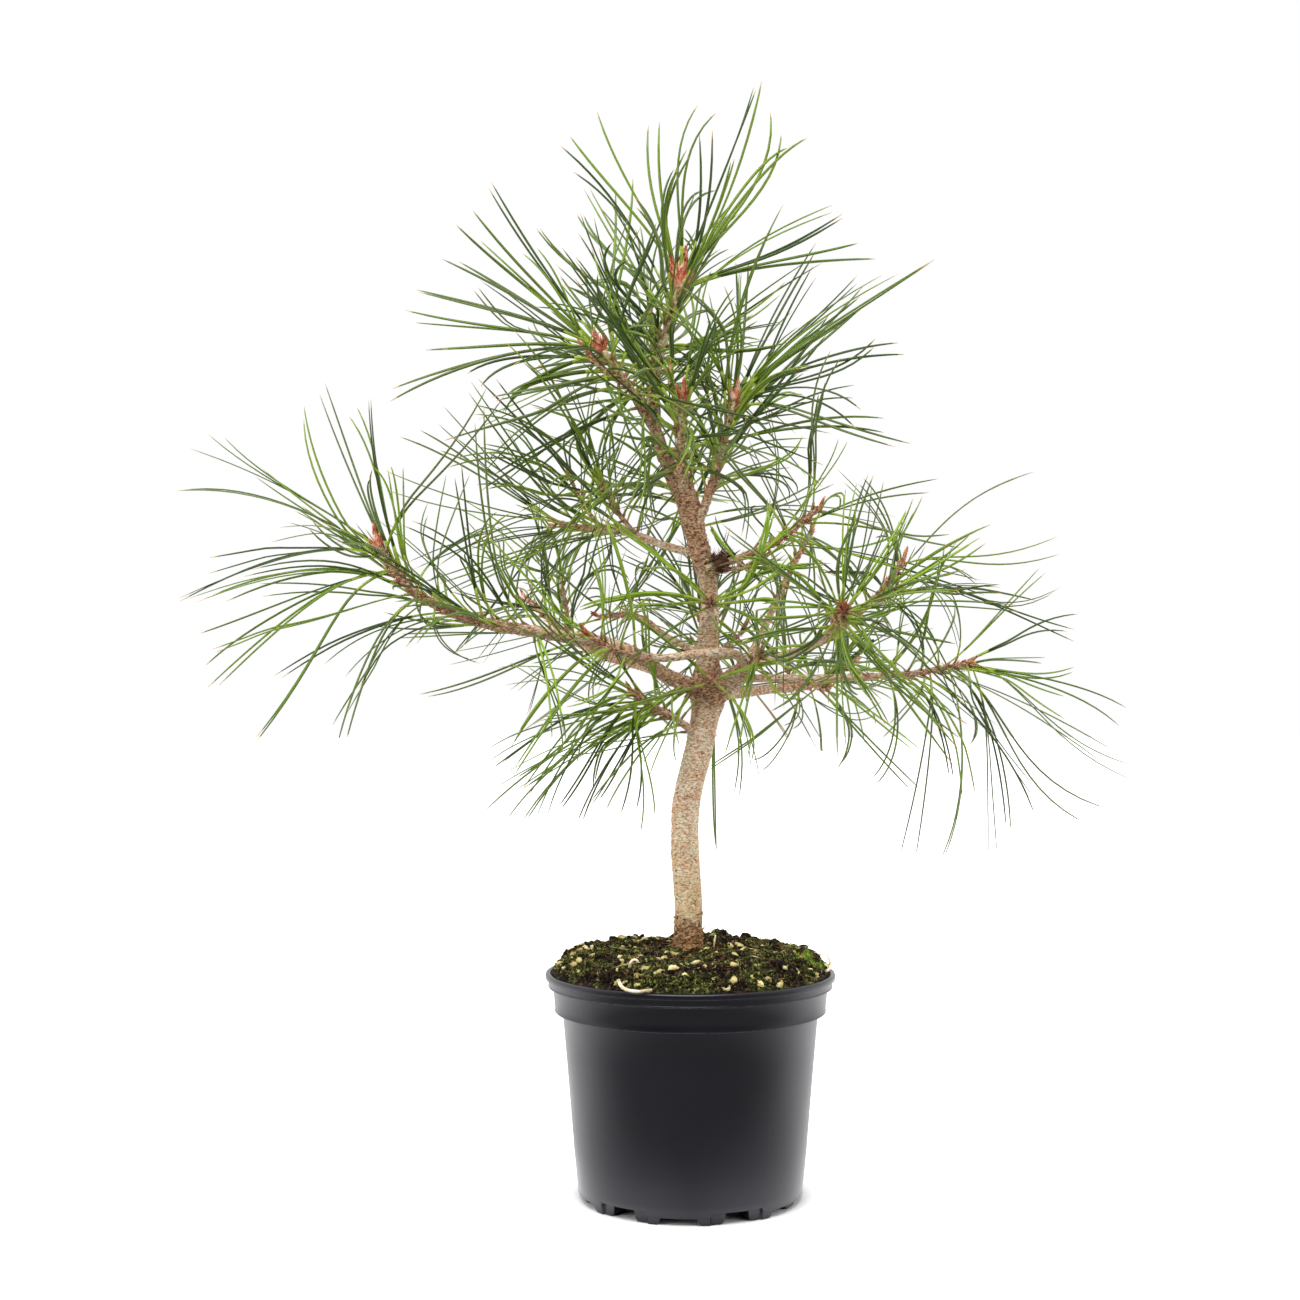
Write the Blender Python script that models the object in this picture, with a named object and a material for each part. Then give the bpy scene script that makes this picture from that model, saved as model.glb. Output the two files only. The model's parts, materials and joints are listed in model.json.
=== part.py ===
"""A young pine in a round plastic nursery pot: pot, soil, trunk, boughs and masses of needles.

Lengths are metres, +Z is up and the front faces -Y. The tables of limbs and masses give
millimetres as (right, back, up), counted from the middle of the pot's foot on the ground.
The whole plant is then moved so that the origin lies under the middle of its outline.
"""

import math
from typing import NamedTuple

import bmesh
import bpy
import numpy as np
from mathutils import Vector
from mathutils.bvhtree import BVHTree

MM = 0.001
CLEARANCE = 0.0003
SEED = 19

# Pot: radii and heights of a three litre round pot, wall about 1.6 mm thick.
POT_HEIGHT = 0.1465
RIM_RADIUS = 0.0950
BAND_RADIUS = 0.0929
COLLAR_RADIUS = 0.0899
COLLAR_FOOT_RADIUS = 0.0885
WALL_TOP_RADIUS = 0.0843
WALL_FOOT_RADIUS = 0.0736
FOOT_OUTER_RADIUS = 0.0708
FOOT_INNER_RADIUS = 0.0662
BEAD_FOOT_HEIGHT = 0.1430
BAND_FOOT_HEIGHT = 0.1376
COLLAR_FOOT_HEIGHT = 0.1215
SKIRT_HEIGHT = 0.0090
WALL = 0.0016
FLOOR_HEIGHT = 0.0084
FLOOR_THICKNESS = 0.0016

# Feet: six on each side of a line just left of the front. The closest pairs have a higher notch.
FOOT_LINE = math.radians(-96.9)
FOOT_MIDDLES = tuple(math.radians(turn) for turn in (16.2, 43.6, 72.4, 107.6, 136.4, 163.8))
FOOT_ANGLE = math.radians(15)
FOOT_CHAMFER_ANGLE = math.radians(2.2)
HIGH_NOTCH_HEIGHT = 0.0076
LOW_NOTCH_HEIGHT = 0.0046
CLOSE_FEET = math.radians(28)
DISTANT_FEET = math.radians(30)

DRAIN_HOLES = 8
DRAIN_HOLE_RADIUS = 0.005
DRAIN_HOLE_SIDES = 8
DRAIN_RING_RADIUS = 0.052

# Soil: a low mound that stands above the rim.
SOIL_RIM_HEIGHT = 0.1445
SOIL_RISE = 0.0175
SOIL_ROUGHNESS = 0.0014
SOIL_SHOULDER = 10
SOIL_SWIRL = 9
SOIL_TOP_RADII = (0.087, 0.077, 0.055, 0.030)
SOIL_SEAT_RADIUS = 0.015

# Trunk: it rises upright, leans right up to the whorl, then swings left into the leader.
GROUND_MM = 161
TRUNK_ROUTE_MM = (
    (-1.4, 0, 161),
    (-1.2, 0, 190),
    (-3.7, 0, 237),
    (-2.3, 0, 258),
    (6.5, 0, 297),
    (12.0, 0, 330),
    (11.2, 0, 358),
    (13.0, 2, 394),
    (3.5, 2, 434),
    (-5.0, 4, 466),
    (-19.0, 8, 490),
    (-24.0, 12, 522),
    (-17.0, 11, 564),
    (-7.0, 8, 598),
)
TRUNK_GIRTH_MM = (
    (161, 9.0),
    (320, 9.0),
    (352, 7.3),
    (395, 5.4),
    (416, 6.6),
    (436, 7.0),
    (458, 7.6),
    (478, 4.6),
    (522, 3.2),
    (598, 2.5),
)
SWELLINGS_MM = ((161, 1.8, 5), (331, 4.0, 9))
TRUNK_SIDES = 12
TRUNK_STEP = 0.017


class Limb(NamedTuple):
    name: str
    radii: tuple
    route: tuple
    mass: str


LIMBS = (
    Limb("right_knob", (8.5, 6.0), ((12, -1, 329), (26, -2, 337), (38, -3, 347)), ""),
    Limb(
        "left_long_bough",
        (5.2, 2.3),
        (
            (10, -2, 332),
            (-12, -6, 339),
            (-39, -17, 356),
            (-88, -39, 367),
            (-134, -59, 375),
            (-175, -75, 395),
            (-194, -81, 420),
        ),
        "needles_left_tip",
    ),
    Limb(
        "right_low_bough",
        (2.6, 1.6),
        ((32, -3, 339), (65, -8, 339), (113, -20, 340), (142, -28, 342), (178, -38, 349)),
        "needles_right_low",
    ),
    Limb(
        "right_long_bough",
        (2.7, 1.8),
        ((34, -2, 345), (56, 6, 352), (89, 9, 365), (119, 2, 389), (139, -8, 415)),
        "needles_right_long",
    ),
    Limb(
        "right_front_bough",
        (2.2, 1.6),
        ((76, 9, 360), (83, -8, 363), (91, -62, 375), (92, -93, 381)),
        "needles_right_front",
    ),
    Limb(
        "left_front_bough",
        (2.8, 1.7),
        ((37, -6, 347), (30, -15, 354), (8, -23, 355), (-19, -34, 352), (-47, -48, 357), (-65, -62, 366)),
        "needles_left_front",
    ),
    Limb("knob_twig", (2.0, 1.5), ((38, -4, 347), (43, -14, 352), (45, -26, 357)), "needles_knob"),
    Limb(
        "back_high_bough",
        (2.6, 1.6),
        ((36, 0, 347), (49, 14, 371), (65, 33, 404), (85, 54, 441)),
        "needles_back_high",
    ),
    Limb(
        "back_right_bough",
        (3.8, 2.1),
        ((14, 3, 327), (52, 48, 331), (93, 95, 336), (121, 125, 350)),
        "needles_back_right",
    ),
    Limb(
        "back_left_bough",
        (4.4, 2.2),
        ((8, 4, 331), (-24, 46, 345), (-74, 95, 362), (-117, 134, 397)),
        "needles_back_left",
    ),
    Limb(
        "back_low_bough",
        (4.0, 2.1),
        ((12, 4, 340), (15, 48, 350), (20, 104, 356), (22, 160, 372)),
        "needles_back_low",
    ),
    Limb(
        "left_back_bough",
        (2.4, 1.6),
        ((9, 3, 354), (-14, 16, 366), (-36, 34, 381), (-61, 54, 381)),
        "needles_left_back",
    ),
    Limb(
        "lower_left_bough",
        (2.2, 1.7),
        ((5, -3, 300), (-7, -12, 311), (-26, -25, 322), (-38, -36, 331)),
        "needles_lower_left",
    ),
    Limb(
        "trunk_front_twig",
        (1.8, 1.4),
        ((12.5, -2, 385), (13, -12, 387), (13, -22, 389)),
        "needles_trunk_front",
    ),
    Limb(
        "right_upper_bough",
        (2.7, 1.8),
        ((11, 0, 411), (33, -7, 418), (54, -13, 427), (83, -25, 449)),
        "needles_right_upper",
    ),
    Limb(
        "left_mid_bough",
        (2.7, 1.6),
        ((8, 2, 420), (-16, 14, 427), (-41, 30, 437), (-67, 45, 441), (-92, 56, 446)),
        "needles_left_mid",
    ),
    Limb(
        "left_mid_twig",
        (1.8, 1.4),
        ((-37, 27, 436), (-47, 21, 449), (-58, 12, 466)),
        "needles_left_twig",
    ),
    Limb(
        "back_upper_bough",
        (3.2, 2.0),
        ((10, 3, 406), (8, 40, 428), (2, 80, 452), (0, 114, 486)),
        "needles_back_upper",
    ),
    Limb(
        "upper_right_bough",
        (3.2, 2.0),
        ((4, 0, 437), (13, -5, 462), (22, -12, 494), (29, -18, 520)),
        "needles_upper_right",
    ),
    Limb(
        "centre_front_bough",
        (3.0, 2.0),
        ((-4, 2, 460), (-6, -14, 481), (-6, -23, 507), (-5, -28, 520)),
        "needles_centre_front",
    ),
    Limb(
        "upper_left_bough",
        (3.0, 2.0),
        ((-20, 7, 492), (-26, -3, 508), (-41, -17, 530), (-57, -27, 551)),
        "needles_upper_left",
    ),
    Limb(
        "upper_back_bough",
        (2.7, 1.8),
        ((-23, 12, 512), (-26, 35, 530), (-24, 55, 548), (-22, 69, 567)),
        "needles_upper_back",
    ),
)
LIMB_SIDES = 6
LIMB_STEP = 0.022
POCKET = 0.012


class Mass(NamedTuple):
    name: str
    centre: tuple
    # how far the needles reach to the left, right, front, back, bottom and top
    reach: tuple
    # degrees that the left and right reach are tipped, left end down
    tip: float = 0


MASSES = (
    Mass("needles_leader", (-7, 8, 602), (96, 130, 95, 100, 44, 130)),
    Mass("needles_upper_left", (-56, -27, 551), (124, 40, 100, 50, 74, 124), -6),
    Mass("needles_centre_front", (-5, -30, 516), (62, 46, 108, 22, 56, 52)),
    Mass("needles_upper_right", (30, -18, 522), (35, 112, 85, 60, 66, 84), 8),
    Mass("needles_upper_back", (-22, 70, 568), (78, 74, 45, 104, 62, 84)),
    Mass("needles_left_twig", (-58, 12, 466), (96, 40, 85, 45, 55, 76)),
    Mass("needles_left_mid", (-90, 55, 446), (106, 52, 72, 98, 60, 80)),
    Mass("needles_right_upper", (82, -25, 448), (55, 92, 90, 58, 60, 64)),
    Mass("needles_back_upper", (0, 114, 486), (78, 78, 60, 106, 72, 86)),
    Mass("needles_back_high", (85, 54, 442), (56, 86, 36, 106, 64, 80)),
    Mass("needles_trunk_front", (13, -24, 389), (34, 36, 42, 12, 38, 36)),
    Mass("needles_left_tip", (-190, -76, 408), (132, 76, 96, 96, 112, 108)),
    Mass("needles_left_bough", (-132, -58, 384), (60, 55, 60, 60, 68, 62)),
    Mass("needles_left_front", (-64, -62, 366), (74, 58, 82, 26, 82, 68)),
    Mass("needles_left_back", (-59, 54, 381), (80, 50, 40, 94, 60, 68)),
    Mass("needles_lower_left", (-38, -36, 330), (116, 40, 80, 45, 56, 62), 48),
    Mass("needles_knob", (45, -27, 358), (38, 44, 50, 20, 42, 38)),
    Mass("needles_right_front", (93, -92, 382), (80, 84, 98, 55, 86, 76)),
    Mass("needles_right_long", (138, -7, 412), (50, 106, 90, 86, 60, 72), -12),
    Mass("needles_right_low", (172, -37, 346), (60, 124, 86, 86, 122, 62), -20),
    Mass("needles_right_bough", (110, -20, 330), (58, 45, 60, 60, 68, 28)),
    Mass("needles_back_right", (121, 125, 350), (62, 104, 66, 98, 88, 66)),
    Mass("needles_back_left", (-117, 134, 398), (104, 62, 66, 94, 82, 78)),
    Mass("needles_back_low", (22, 160, 372), (78, 78, 60, 96, 88, 72)),
)
MASS_GAP = 0.002
MASS_COLUMNS = 12
MASS_RINGS = 8
MASS_ROUNDNESS = 1.85
MASS_UNEVENNESS = 0.16


def clear_scene():
    for item in list(bpy.data.objects):
        bpy.data.objects.remove(item, do_unlink=True)


def make_material(name, colour, roughness):
    material = bpy.data.materials.new(name)
    material.use_nodes = True
    shader = material.node_tree.nodes["Principled BSDF"]
    shader.inputs["Base Color"].default_value = (*colour, 1.0)
    shader.inputs["Roughness"].default_value = roughness
    shader.inputs["Metallic"].default_value = 0.0
    material.diffuse_color = (*colour, 1.0)
    return material


def make_object(name, points, faces, material, smooth_angle=None):
    mesh = bpy.data.meshes.new(name)
    mesh.from_pydata([tuple(point) for point in points], [], faces)
    mesh.materials.append(material)
    finish_normals(mesh, smooth_angle)
    item = bpy.data.objects.new(name, mesh)
    bpy.context.scene.collection.objects.link(item)
    return item


def finish_normals(mesh, smooth_angle):
    shape = bmesh.new()
    shape.from_mesh(mesh)
    bmesh.ops.recalc_face_normals(shape, faces=shape.faces)
    shape.to_mesh(mesh)
    shape.free()
    if smooth_angle is not None:
        mesh.shade_smooth()
        mesh.set_sharp_from_angle(angle=smooth_angle)


def foot_columns():
    """Angle and foot height of each column of points round the pot."""
    middles = sorted(side * middle for side in (-1, 1) for middle in FOOT_MIDDLES)
    following = middles[1:] + [middles[0] + 2 * math.pi]
    before = LOW_NOTCH_HEIGHT
    columns = []
    for middle, after in zip(middles, following):
        start = FOOT_LINE + middle - FOOT_ANGLE / 2
        end = start + FOOT_ANGLE
        notch = HIGH_NOTCH_HEIGHT if after - middle < CLOSE_FEET else LOW_NOTCH_HEIGHT
        columns.append((start, before))
        columns.append((start + FOOT_CHAMFER_ANGLE, 0.0))
        columns.append((end - FOOT_CHAMFER_ANGLE, 0.0))
        columns.append((end, notch))
        if after - middle > DISTANT_FEET:
            columns.append((FOOT_LINE + (middle + after) / 2, notch))
        before = notch
    return columns


def pot_profile(foot_height):
    """Radius and height down the outside, under the foot and floor, and up the inside."""
    return [
        (RIM_RADIUS - 0.0015, POT_HEIGHT),
        (RIM_RADIUS, POT_HEIGHT - 0.0010),
        (RIM_RADIUS, BEAD_FOOT_HEIGHT + 0.0003),
        (BAND_RADIUS, BEAD_FOOT_HEIGHT - 0.0003),
        (BAND_RADIUS, BAND_FOOT_HEIGHT + 0.0004),
        (COLLAR_RADIUS, BAND_FOOT_HEIGHT - 0.0004),
        (COLLAR_FOOT_RADIUS, COLLAR_FOOT_HEIGHT + 0.0005),
        (WALL_TOP_RADIUS, COLLAR_FOOT_HEIGHT - 0.0005),
        (WALL_FOOT_RADIUS, SKIRT_HEIGHT),
        (FOOT_OUTER_RADIUS, foot_height),
        (FOOT_INNER_RADIUS, foot_height),
        (FOOT_INNER_RADIUS - 0.0004, FLOOR_HEIGHT),
        None,
        None,
        (WALL_FOOT_RADIUS - WALL, FLOOR_HEIGHT + FLOOR_THICKNESS),
        (WALL_TOP_RADIUS - WALL, COLLAR_FOOT_HEIGHT - 0.0015),
        (COLLAR_FOOT_RADIUS - WALL, COLLAR_FOOT_HEIGHT + 0.0011),
        (COLLAR_RADIUS - WALL, BAND_FOOT_HEIGHT - 0.0011),
        (BAND_RADIUS - WALL, BAND_FOOT_HEIGHT - 0.0001),
        (BAND_RADIUS - 0.0011, POT_HEIGHT),
    ]


def join_rings(rings, faces, count, first, second):
    for i in range(count):
        j = (i + 1) % count
        faces.append((rings[first] + i, rings[first] + j, rings[second] + j, rings[second] + i))


def fan(points, faces, count, ring, pole):
    points.append(pole)
    for i in range(count):
        faces.append((ring + i, ring + (i + 1) % count, len(points) - 1))


def round_point(radius, height, angle):
    return (radius * math.cos(angle), radius * math.sin(angle), height)


def make_pot(material):
    columns = foot_columns()
    profiles = [pot_profile(height) for _, height in columns]
    count = len(columns)
    points = []
    faces = []
    rings = {}
    for row, place in enumerate(profiles[0]):
        if place is None:
            continue
        rings[row] = len(points)
        for (angle, _), profile in zip(columns, profiles):
            points.append(round_point(*profile[row], angle))
    rows = len(profiles[0])
    for row in range(rows):
        following = (row + 1) % rows
        if row in rings and following in rings:
            join_rings(rings, faces, count, row, following)
    gap = profiles[0].index(None)
    fan(points, faces, count, rings[gap - 1], (0, 0, FLOOR_HEIGHT))
    fan(points, faces, count, rings[gap + 2], (0, 0, FLOOR_HEIGHT + FLOOR_THICKNESS))
    pot = make_object("pot", points, faces, material, math.radians(28))
    carve(pot, [drain_hole_cutter()])
    return pot


def drain_hole_cutter():
    shape = bmesh.new()
    for hole in range(DRAIN_HOLES):
        angle = 2 * math.pi * (hole + 0.5) / DRAIN_HOLES
        drilled = bmesh.ops.create_cone(
            shape,
            cap_ends=True,
            segments=DRAIN_HOLE_SIDES,
            radius1=DRAIN_HOLE_RADIUS,
            radius2=DRAIN_HOLE_RADIUS,
            depth=4 * FLOOR_THICKNESS,
        )
        place = round_point(DRAIN_RING_RADIUS, FLOOR_HEIGHT + FLOOR_THICKNESS / 2, angle)
        bmesh.ops.translate(shape, verts=drilled["verts"], vec=place)
    mesh = bpy.data.meshes.new("drain_holes")
    shape.to_mesh(mesh)
    shape.free()
    return hidden_object("drain_holes", mesh)


def hidden_object(name, mesh):
    cutter = bpy.data.objects.new(name, mesh)
    cutter.hide_render = True
    cutter.display_type = "WIRE"
    bpy.context.scene.collection.objects.link(cutter)
    return cutter


def carve(item, cutters):
    """Cuts the cutters from the item, keeps its largest piece and removes the cutters."""
    material = item.data.materials[0]
    for cutter in cutters:
        cut = item.modifiers.new("cut_" + cutter.name, "BOOLEAN")
        cut.operation = "DIFFERENCE"
        cut.solver = "EXACT"
        cut.object = cutter
    bpy.context.view_layer.update()
    graph = bpy.context.evaluated_depsgraph_get()
    mesh = bpy.data.meshes.new_from_object(item.evaluated_get(graph))
    item.modifiers.clear()
    for cutter in cutters:
        bpy.data.objects.remove(cutter, do_unlink=True)
    keep_largest(mesh)
    mesh.materials.clear()
    mesh.materials.append(material)
    item.data = mesh
    mesh.name = item.name


def keep_largest(mesh):
    shape = bmesh.new()
    shape.from_mesh(mesh)
    bmesh.ops.remove_doubles(shape, verts=shape.verts, dist=2e-6)
    waiting = set(shape.verts)
    pieces = []
    while waiting:
        front = [waiting.pop()]
        piece = list(front)
        while front:
            vert = front.pop()
            for edge in vert.link_edges:
                other = edge.other_vert(vert)
                if other in waiting:
                    waiting.remove(other)
                    front.append(other)
                    piece.append(other)
        pieces.append(piece)
    pieces.sort(key=len)
    for piece in pieces[:-1]:
        bmesh.ops.delete(shape, geom=piece, context="VERTS")
    shape.to_mesh(mesh)
    shape.free()


def soil_height(radius, angle, bumps):
    """The mound falls away to the rim and swells and dips a little round it."""
    share = radius / BAND_RADIUS
    height = SOIL_RIM_HEIGHT + SOIL_RISE * (1 - share**SOIL_SHOULDER)
    for waves, phase, size in bumps:
        wave = math.sin(waves * angle + phase + SOIL_SWIRL * share)
        height += SOIL_ROUGHNESS * size * wave * math.sin(math.pi * share)
    return height


def make_soil(material):
    rng = np.random.default_rng(SEED)
    bumps = [(waves, rng.uniform(0, 2 * math.pi), rng.uniform(0.4, 1.0)) for waves in (2, 3, 5)]
    angles = [angle for angle, _ in foot_columns()][::2]
    count = len(angles)
    seat_height = GROUND_MM * MM - CLEARANCE
    side = [
        (WALL_FOOT_RADIUS - WALL - CLEARANCE, FLOOR_HEIGHT + FLOOR_THICKNESS + CLEARANCE),
        (WALL_TOP_RADIUS - WALL - CLEARANCE, COLLAR_FOOT_HEIGHT - 0.0015),
        (COLLAR_FOOT_RADIUS - WALL - CLEARANCE, COLLAR_FOOT_HEIGHT + 0.0015),
        (COLLAR_RADIUS - WALL - CLEARANCE, BAND_FOOT_HEIGHT - 0.0011),
        (BAND_RADIUS - WALL - CLEARANCE, BAND_FOOT_HEIGHT + 0.0004),
        (BAND_RADIUS - WALL - CLEARANCE, SOIL_RIM_HEIGHT - 0.0005),
    ]
    points = [round_point(radius, height, angle) for radius, height in side for angle in angles]
    for radius in SOIL_TOP_RADII:
        for angle in angles:
            points.append(round_point(radius, soil_height(radius, angle, bumps), angle))
    points += [round_point(SOIL_SEAT_RADIUS, seat_height, angle) for angle in angles]
    rings = [start for start in range(0, len(points), count)]
    faces = []
    for row in range(len(rings) - 1):
        join_rings(rings, faces, count, row, row + 1)
    fan(points, faces, count, rings[0], (0, 0, FLOOR_HEIGHT + FLOOR_THICKNESS + CLEARANCE))
    fan(points, faces, count, rings[-1], (0, 0, seat_height))
    return make_object("soil", points, faces, material, math.radians(40))


def smooth_route(waypoints_mm, step):
    """Evenly spaced points on a smooth curve through the waypoints."""
    way = np.array(waypoints_mm, float) * MM
    length = np.r_[0, np.cumsum(np.linalg.norm(np.diff(way, axis=0), axis=1))]
    slope = np.gradient(way, length, axis=0)
    dense = []
    for i in range(len(way) - 1):
        span = length[i + 1] - length[i]
        for t in np.linspace(0, 1, 24, endpoint=False):
            dense.append(
                (2 * t**3 - 3 * t**2 + 1) * way[i]
                + (t**3 - 2 * t**2 + t) * span * slope[i]
                + (3 * t**2 - 2 * t**3) * way[i + 1]
                + (t**3 - t**2) * span * slope[i + 1]
            )
    dense = np.array(dense + [way[-1]])
    run = np.r_[0, np.cumsum(np.linalg.norm(np.diff(dense, axis=0), axis=1))]
    count = max(2, round(run[-1] / step)) + 1
    even = np.linspace(0, run[-1], count)
    return np.stack([np.interp(even, run, dense[:, axis]) for axis in range(3)], axis=1)


def trunk_radii(route):
    height = route[:, 2] / MM
    heights, radii = zip(*TRUNK_GIRTH_MM)
    girth = np.interp(height, heights, radii)
    for middle, extra, spread in SWELLINGS_MM:
        girth += extra * np.exp(-(((height - middle) / spread) ** 2))
    return girth * MM


def tube(route, radii, sides, level_foot=False):
    """Points and faces of a closed limb round the route."""
    points = []
    faces = []
    tangents = np.gradient(route, axis=0)
    tangents /= np.linalg.norm(tangents, axis=1)[:, None]
    if level_foot:
        tangents[0] = (0, 0, 1)
    across = np.cross(tangents[0], (0.0, 1.0, 0.0))
    for place, along, radius in zip(route, tangents, radii):
        across = across - along * (across @ along)
        across /= np.linalg.norm(across)
        third = np.cross(along, across)
        for i in range(sides):
            angle = 2 * math.pi * (i + 0.5) / sides
            points.append(place + radius * (math.cos(angle) * across + math.sin(angle) * third))
    rings = [i * sides for i in range(len(route))]
    for row in range(len(route) - 1):
        join_rings(rings, faces, sides, row, row + 1)
    faces.append(tuple(range(sides)))
    faces.append(tuple(range(rings[-1], rings[-1] + sides)))
    return points, faces


class Wood(NamedTuple):
    name: str
    route: np.ndarray
    radii: np.ndarray
    sides: int

    def low(self):
        return (self.route - self.radii[:, None]).min(axis=0)

    def high(self):
        return (self.route + self.radii[:, None]).max(axis=0)

    def mesh(self):
        return tube(self.route, self.radii, self.sides, level_foot=self.name == "trunk")

    def cutter(self):
        """The same limb, swollen all round by the clearance."""
        route = self.route.copy()
        end = route[-1] - route[-2]
        route[-1] += CLEARANCE * end / np.linalg.norm(end)
        points, faces = tube(route, self.radii + CLEARANCE * 1.15, self.sides, self.name == "trunk")
        mesh = bpy.data.meshes.new(self.name + "_cutter")
        mesh.from_pydata([tuple(point) for point in points], [], faces)
        finish_normals(mesh, None)
        return hidden_object(self.name + "_cutter", mesh)


def near(low, high, wood):
    return bool((low < wood.high() + 0.001).all() and (high > wood.low() - 0.001).all())


def mass_frame(mass):
    angle = math.radians(mass.tip)
    right = np.array([math.cos(angle), 0, math.sin(angle)])
    up = np.array([-math.sin(angle), 0, math.cos(angle)])
    return np.stack([right, np.array([0, 1.0, 0]), up])


def plain_reach(mass, directions):
    """Distance from the middle of the mass to its skin, before it is made uneven."""
    local = directions @ mass_frame(mass).T
    left, right, front, back, bottom, top = (size * MM for size in mass.reach)
    ends = np.stack(
        [
            np.where(local[:, 0] < 0, left, right),
            np.where(local[:, 1] < 0, front, back),
            np.where(local[:, 2] < 0, bottom, top),
        ],
        axis=1,
    )
    return ((np.abs(local) / ends) ** MASS_ROUNDNESS).sum(axis=1) ** (-1 / MASS_ROUNDNESS)


def sphere_directions():
    directions = [(0.0, 0.0, -1.0)]
    for ring in range(1, MASS_RINGS):
        lift = -math.pi / 2 + math.pi * ring / MASS_RINGS
        for column in range(MASS_COLUMNS):
            turn = 2 * math.pi * column / MASS_COLUMNS
            directions.append(
                (math.cos(lift) * math.cos(turn), math.cos(lift) * math.sin(turn), math.sin(lift))
            )
    directions.append((0.0, 0.0, 1.0))
    return np.array(directions)


def sphere_faces():
    last = 1 + MASS_COLUMNS * (MASS_RINGS - 1)
    faces = []
    for column in range(MASS_COLUMNS):
        following = (column + 1) % MASS_COLUMNS
        faces.append((0, 1 + following, 1 + column))
        top = last - MASS_COLUMNS
        faces.append((last, top + column, top + following))
    for ring in range(MASS_RINGS - 2):
        low = 1 + ring * MASS_COLUMNS
        high = low + MASS_COLUMNS
        for column in range(MASS_COLUMNS):
            following = (column + 1) % MASS_COLUMNS
            faces.append((low + column, low + following, high + following))
            faces.append((low + column, high + following, high + column))
    return faces


def mass_points(index):
    """Skin of one mass: its reach, made uneven, and kept on its own side of each neighbour."""
    mass = MASSES[index]
    rng = np.random.default_rng(SEED + index)
    centre = np.array(mass.centre) * MM
    directions = sphere_directions() @ mass_frame(mass)
    skin = plain_reach(mass, directions)
    on_axis = np.abs(sphere_directions()).max(axis=1) ** 6
    skin *= 1 + MASS_UNEVENNESS * rng.uniform(-1, 0.5, len(skin)) * (1 - on_axis)
    for other in MASSES:
        apart = np.array(other.centre) * MM - centre
        distance = np.linalg.norm(apart)
        if distance == 0 or distance > (max(mass.reach) + max(other.reach)) * MM:
            continue
        way = apart / distance
        mine = plain_reach(mass, way[None])[0]
        theirs = plain_reach(other, -way[None])[0]
        wall = distance * mine / (mine + theirs) - MASS_GAP / 2
        slope = directions @ way
        toward = slope > 1e-6
        skin[toward] = np.minimum(skin[toward], wall / slope[toward])
    return centre + directions * skin[:, None]


def inside(tree, point):
    """Whether a ray from the point leaves the closed shape an odd number of times."""
    crossings = 0
    start = Vector(point)
    ray = Vector((0.31, 0.47, 0.83)).normalized()
    hit = tree.ray_cast(start, ray)[0]
    while hit is not None:
        crossings += 1
        hit = tree.ray_cast(hit + ray * 1e-5, ray)[0]
    return crossings % 2 == 1


def limb_wood(limb, trees):
    """The limb from its root to a shallow pocket in the mass that it carries."""
    fine = smooth_route(limb.route, 0.001)
    share = np.linspace(0, 1, len(fine))
    radii = (limb.radii[0] + (limb.radii[1] - limb.radii[0]) * share) * MM
    end = len(fine)
    if limb.mass:
        held = [inside(trees[limb.mass], place) for place in fine]
        outside = [i for i, found in enumerate(held) if not found]
        entry = outside[-1] + 1 if outside else 0
        end = min(len(fine), entry + round(POCKET / 0.001))
    count = max(2, round(end * 0.001 / LIMB_STEP)) + 1
    picked = np.linspace(0, end - 1, count).round().astype(int)
    return Wood(limb.name, fine[picked], radii[picked], LIMB_SIDES)


def main():
    clear_scene()
    plastic = make_material("pot_plastic", (0.014, 0.014, 0.016), 0.42)
    peat = make_material("soil", (0.045, 0.032, 0.018), 0.95)
    bark = make_material("bark", (0.36, 0.25, 0.15), 0.85)
    green = make_material("needles", (0.10, 0.19, 0.05), 0.55)
    made = [make_pot(plastic), make_soil(peat)]

    faces = sphere_faces()
    skins = {mass.name: mass_points(i) for i, mass in enumerate(MASSES)}
    trees = {
        name: BVHTree.FromPolygons([Vector(point) for point in skin], faces)
        for name, skin in skins.items()
    }
    trunk_route = smooth_route(TRUNK_ROUTE_MM, TRUNK_STEP)
    woods = [Wood("trunk", trunk_route, trunk_radii(trunk_route), TRUNK_SIDES)]
    woods += [limb_wood(limb, trees) for limb in LIMBS]
    for i, wood in enumerate(woods):
        item = make_object(wood.name, *wood.mesh(), bark, math.radians(50))
        earlier = [other for other in woods[:i] if near(wood.low(), wood.high(), other)]
        if earlier:
            carve(item, [other.cutter() for other in earlier])
        made.append(item)
    for name, skin in skins.items():
        item = make_object(name, skin, faces, green, math.radians(30))
        crossing = [wood for wood in woods if near(skin.min(axis=0), skin.max(axis=0), wood)]
        carve(item, [wood.cutter() for wood in crossing])
        made.append(item)

    corners = np.array([vert.co for item in made for vert in item.data.vertices])
    middle = (corners.min(axis=0) + corners.max(axis=0)) / 2
    stand = bpy.data.objects.new("plant_origin", None)
    stand.location = (-middle[0], -middle[1], 0)
    bpy.context.scene.collection.objects.link(stand)
    for item in made:
        item.parent = stand


main()
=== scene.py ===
# %% [markdown]
# # A young pine in a nursery pot
# The real plant is a few years old: one trunk that leans right and swings back left, long boughs with a bud
# at each end, and needles of ten to thirteen centimetres in pairs round the last stretch of each shoot.
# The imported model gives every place. This file gives each piece its real surface.

import json
import math

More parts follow.
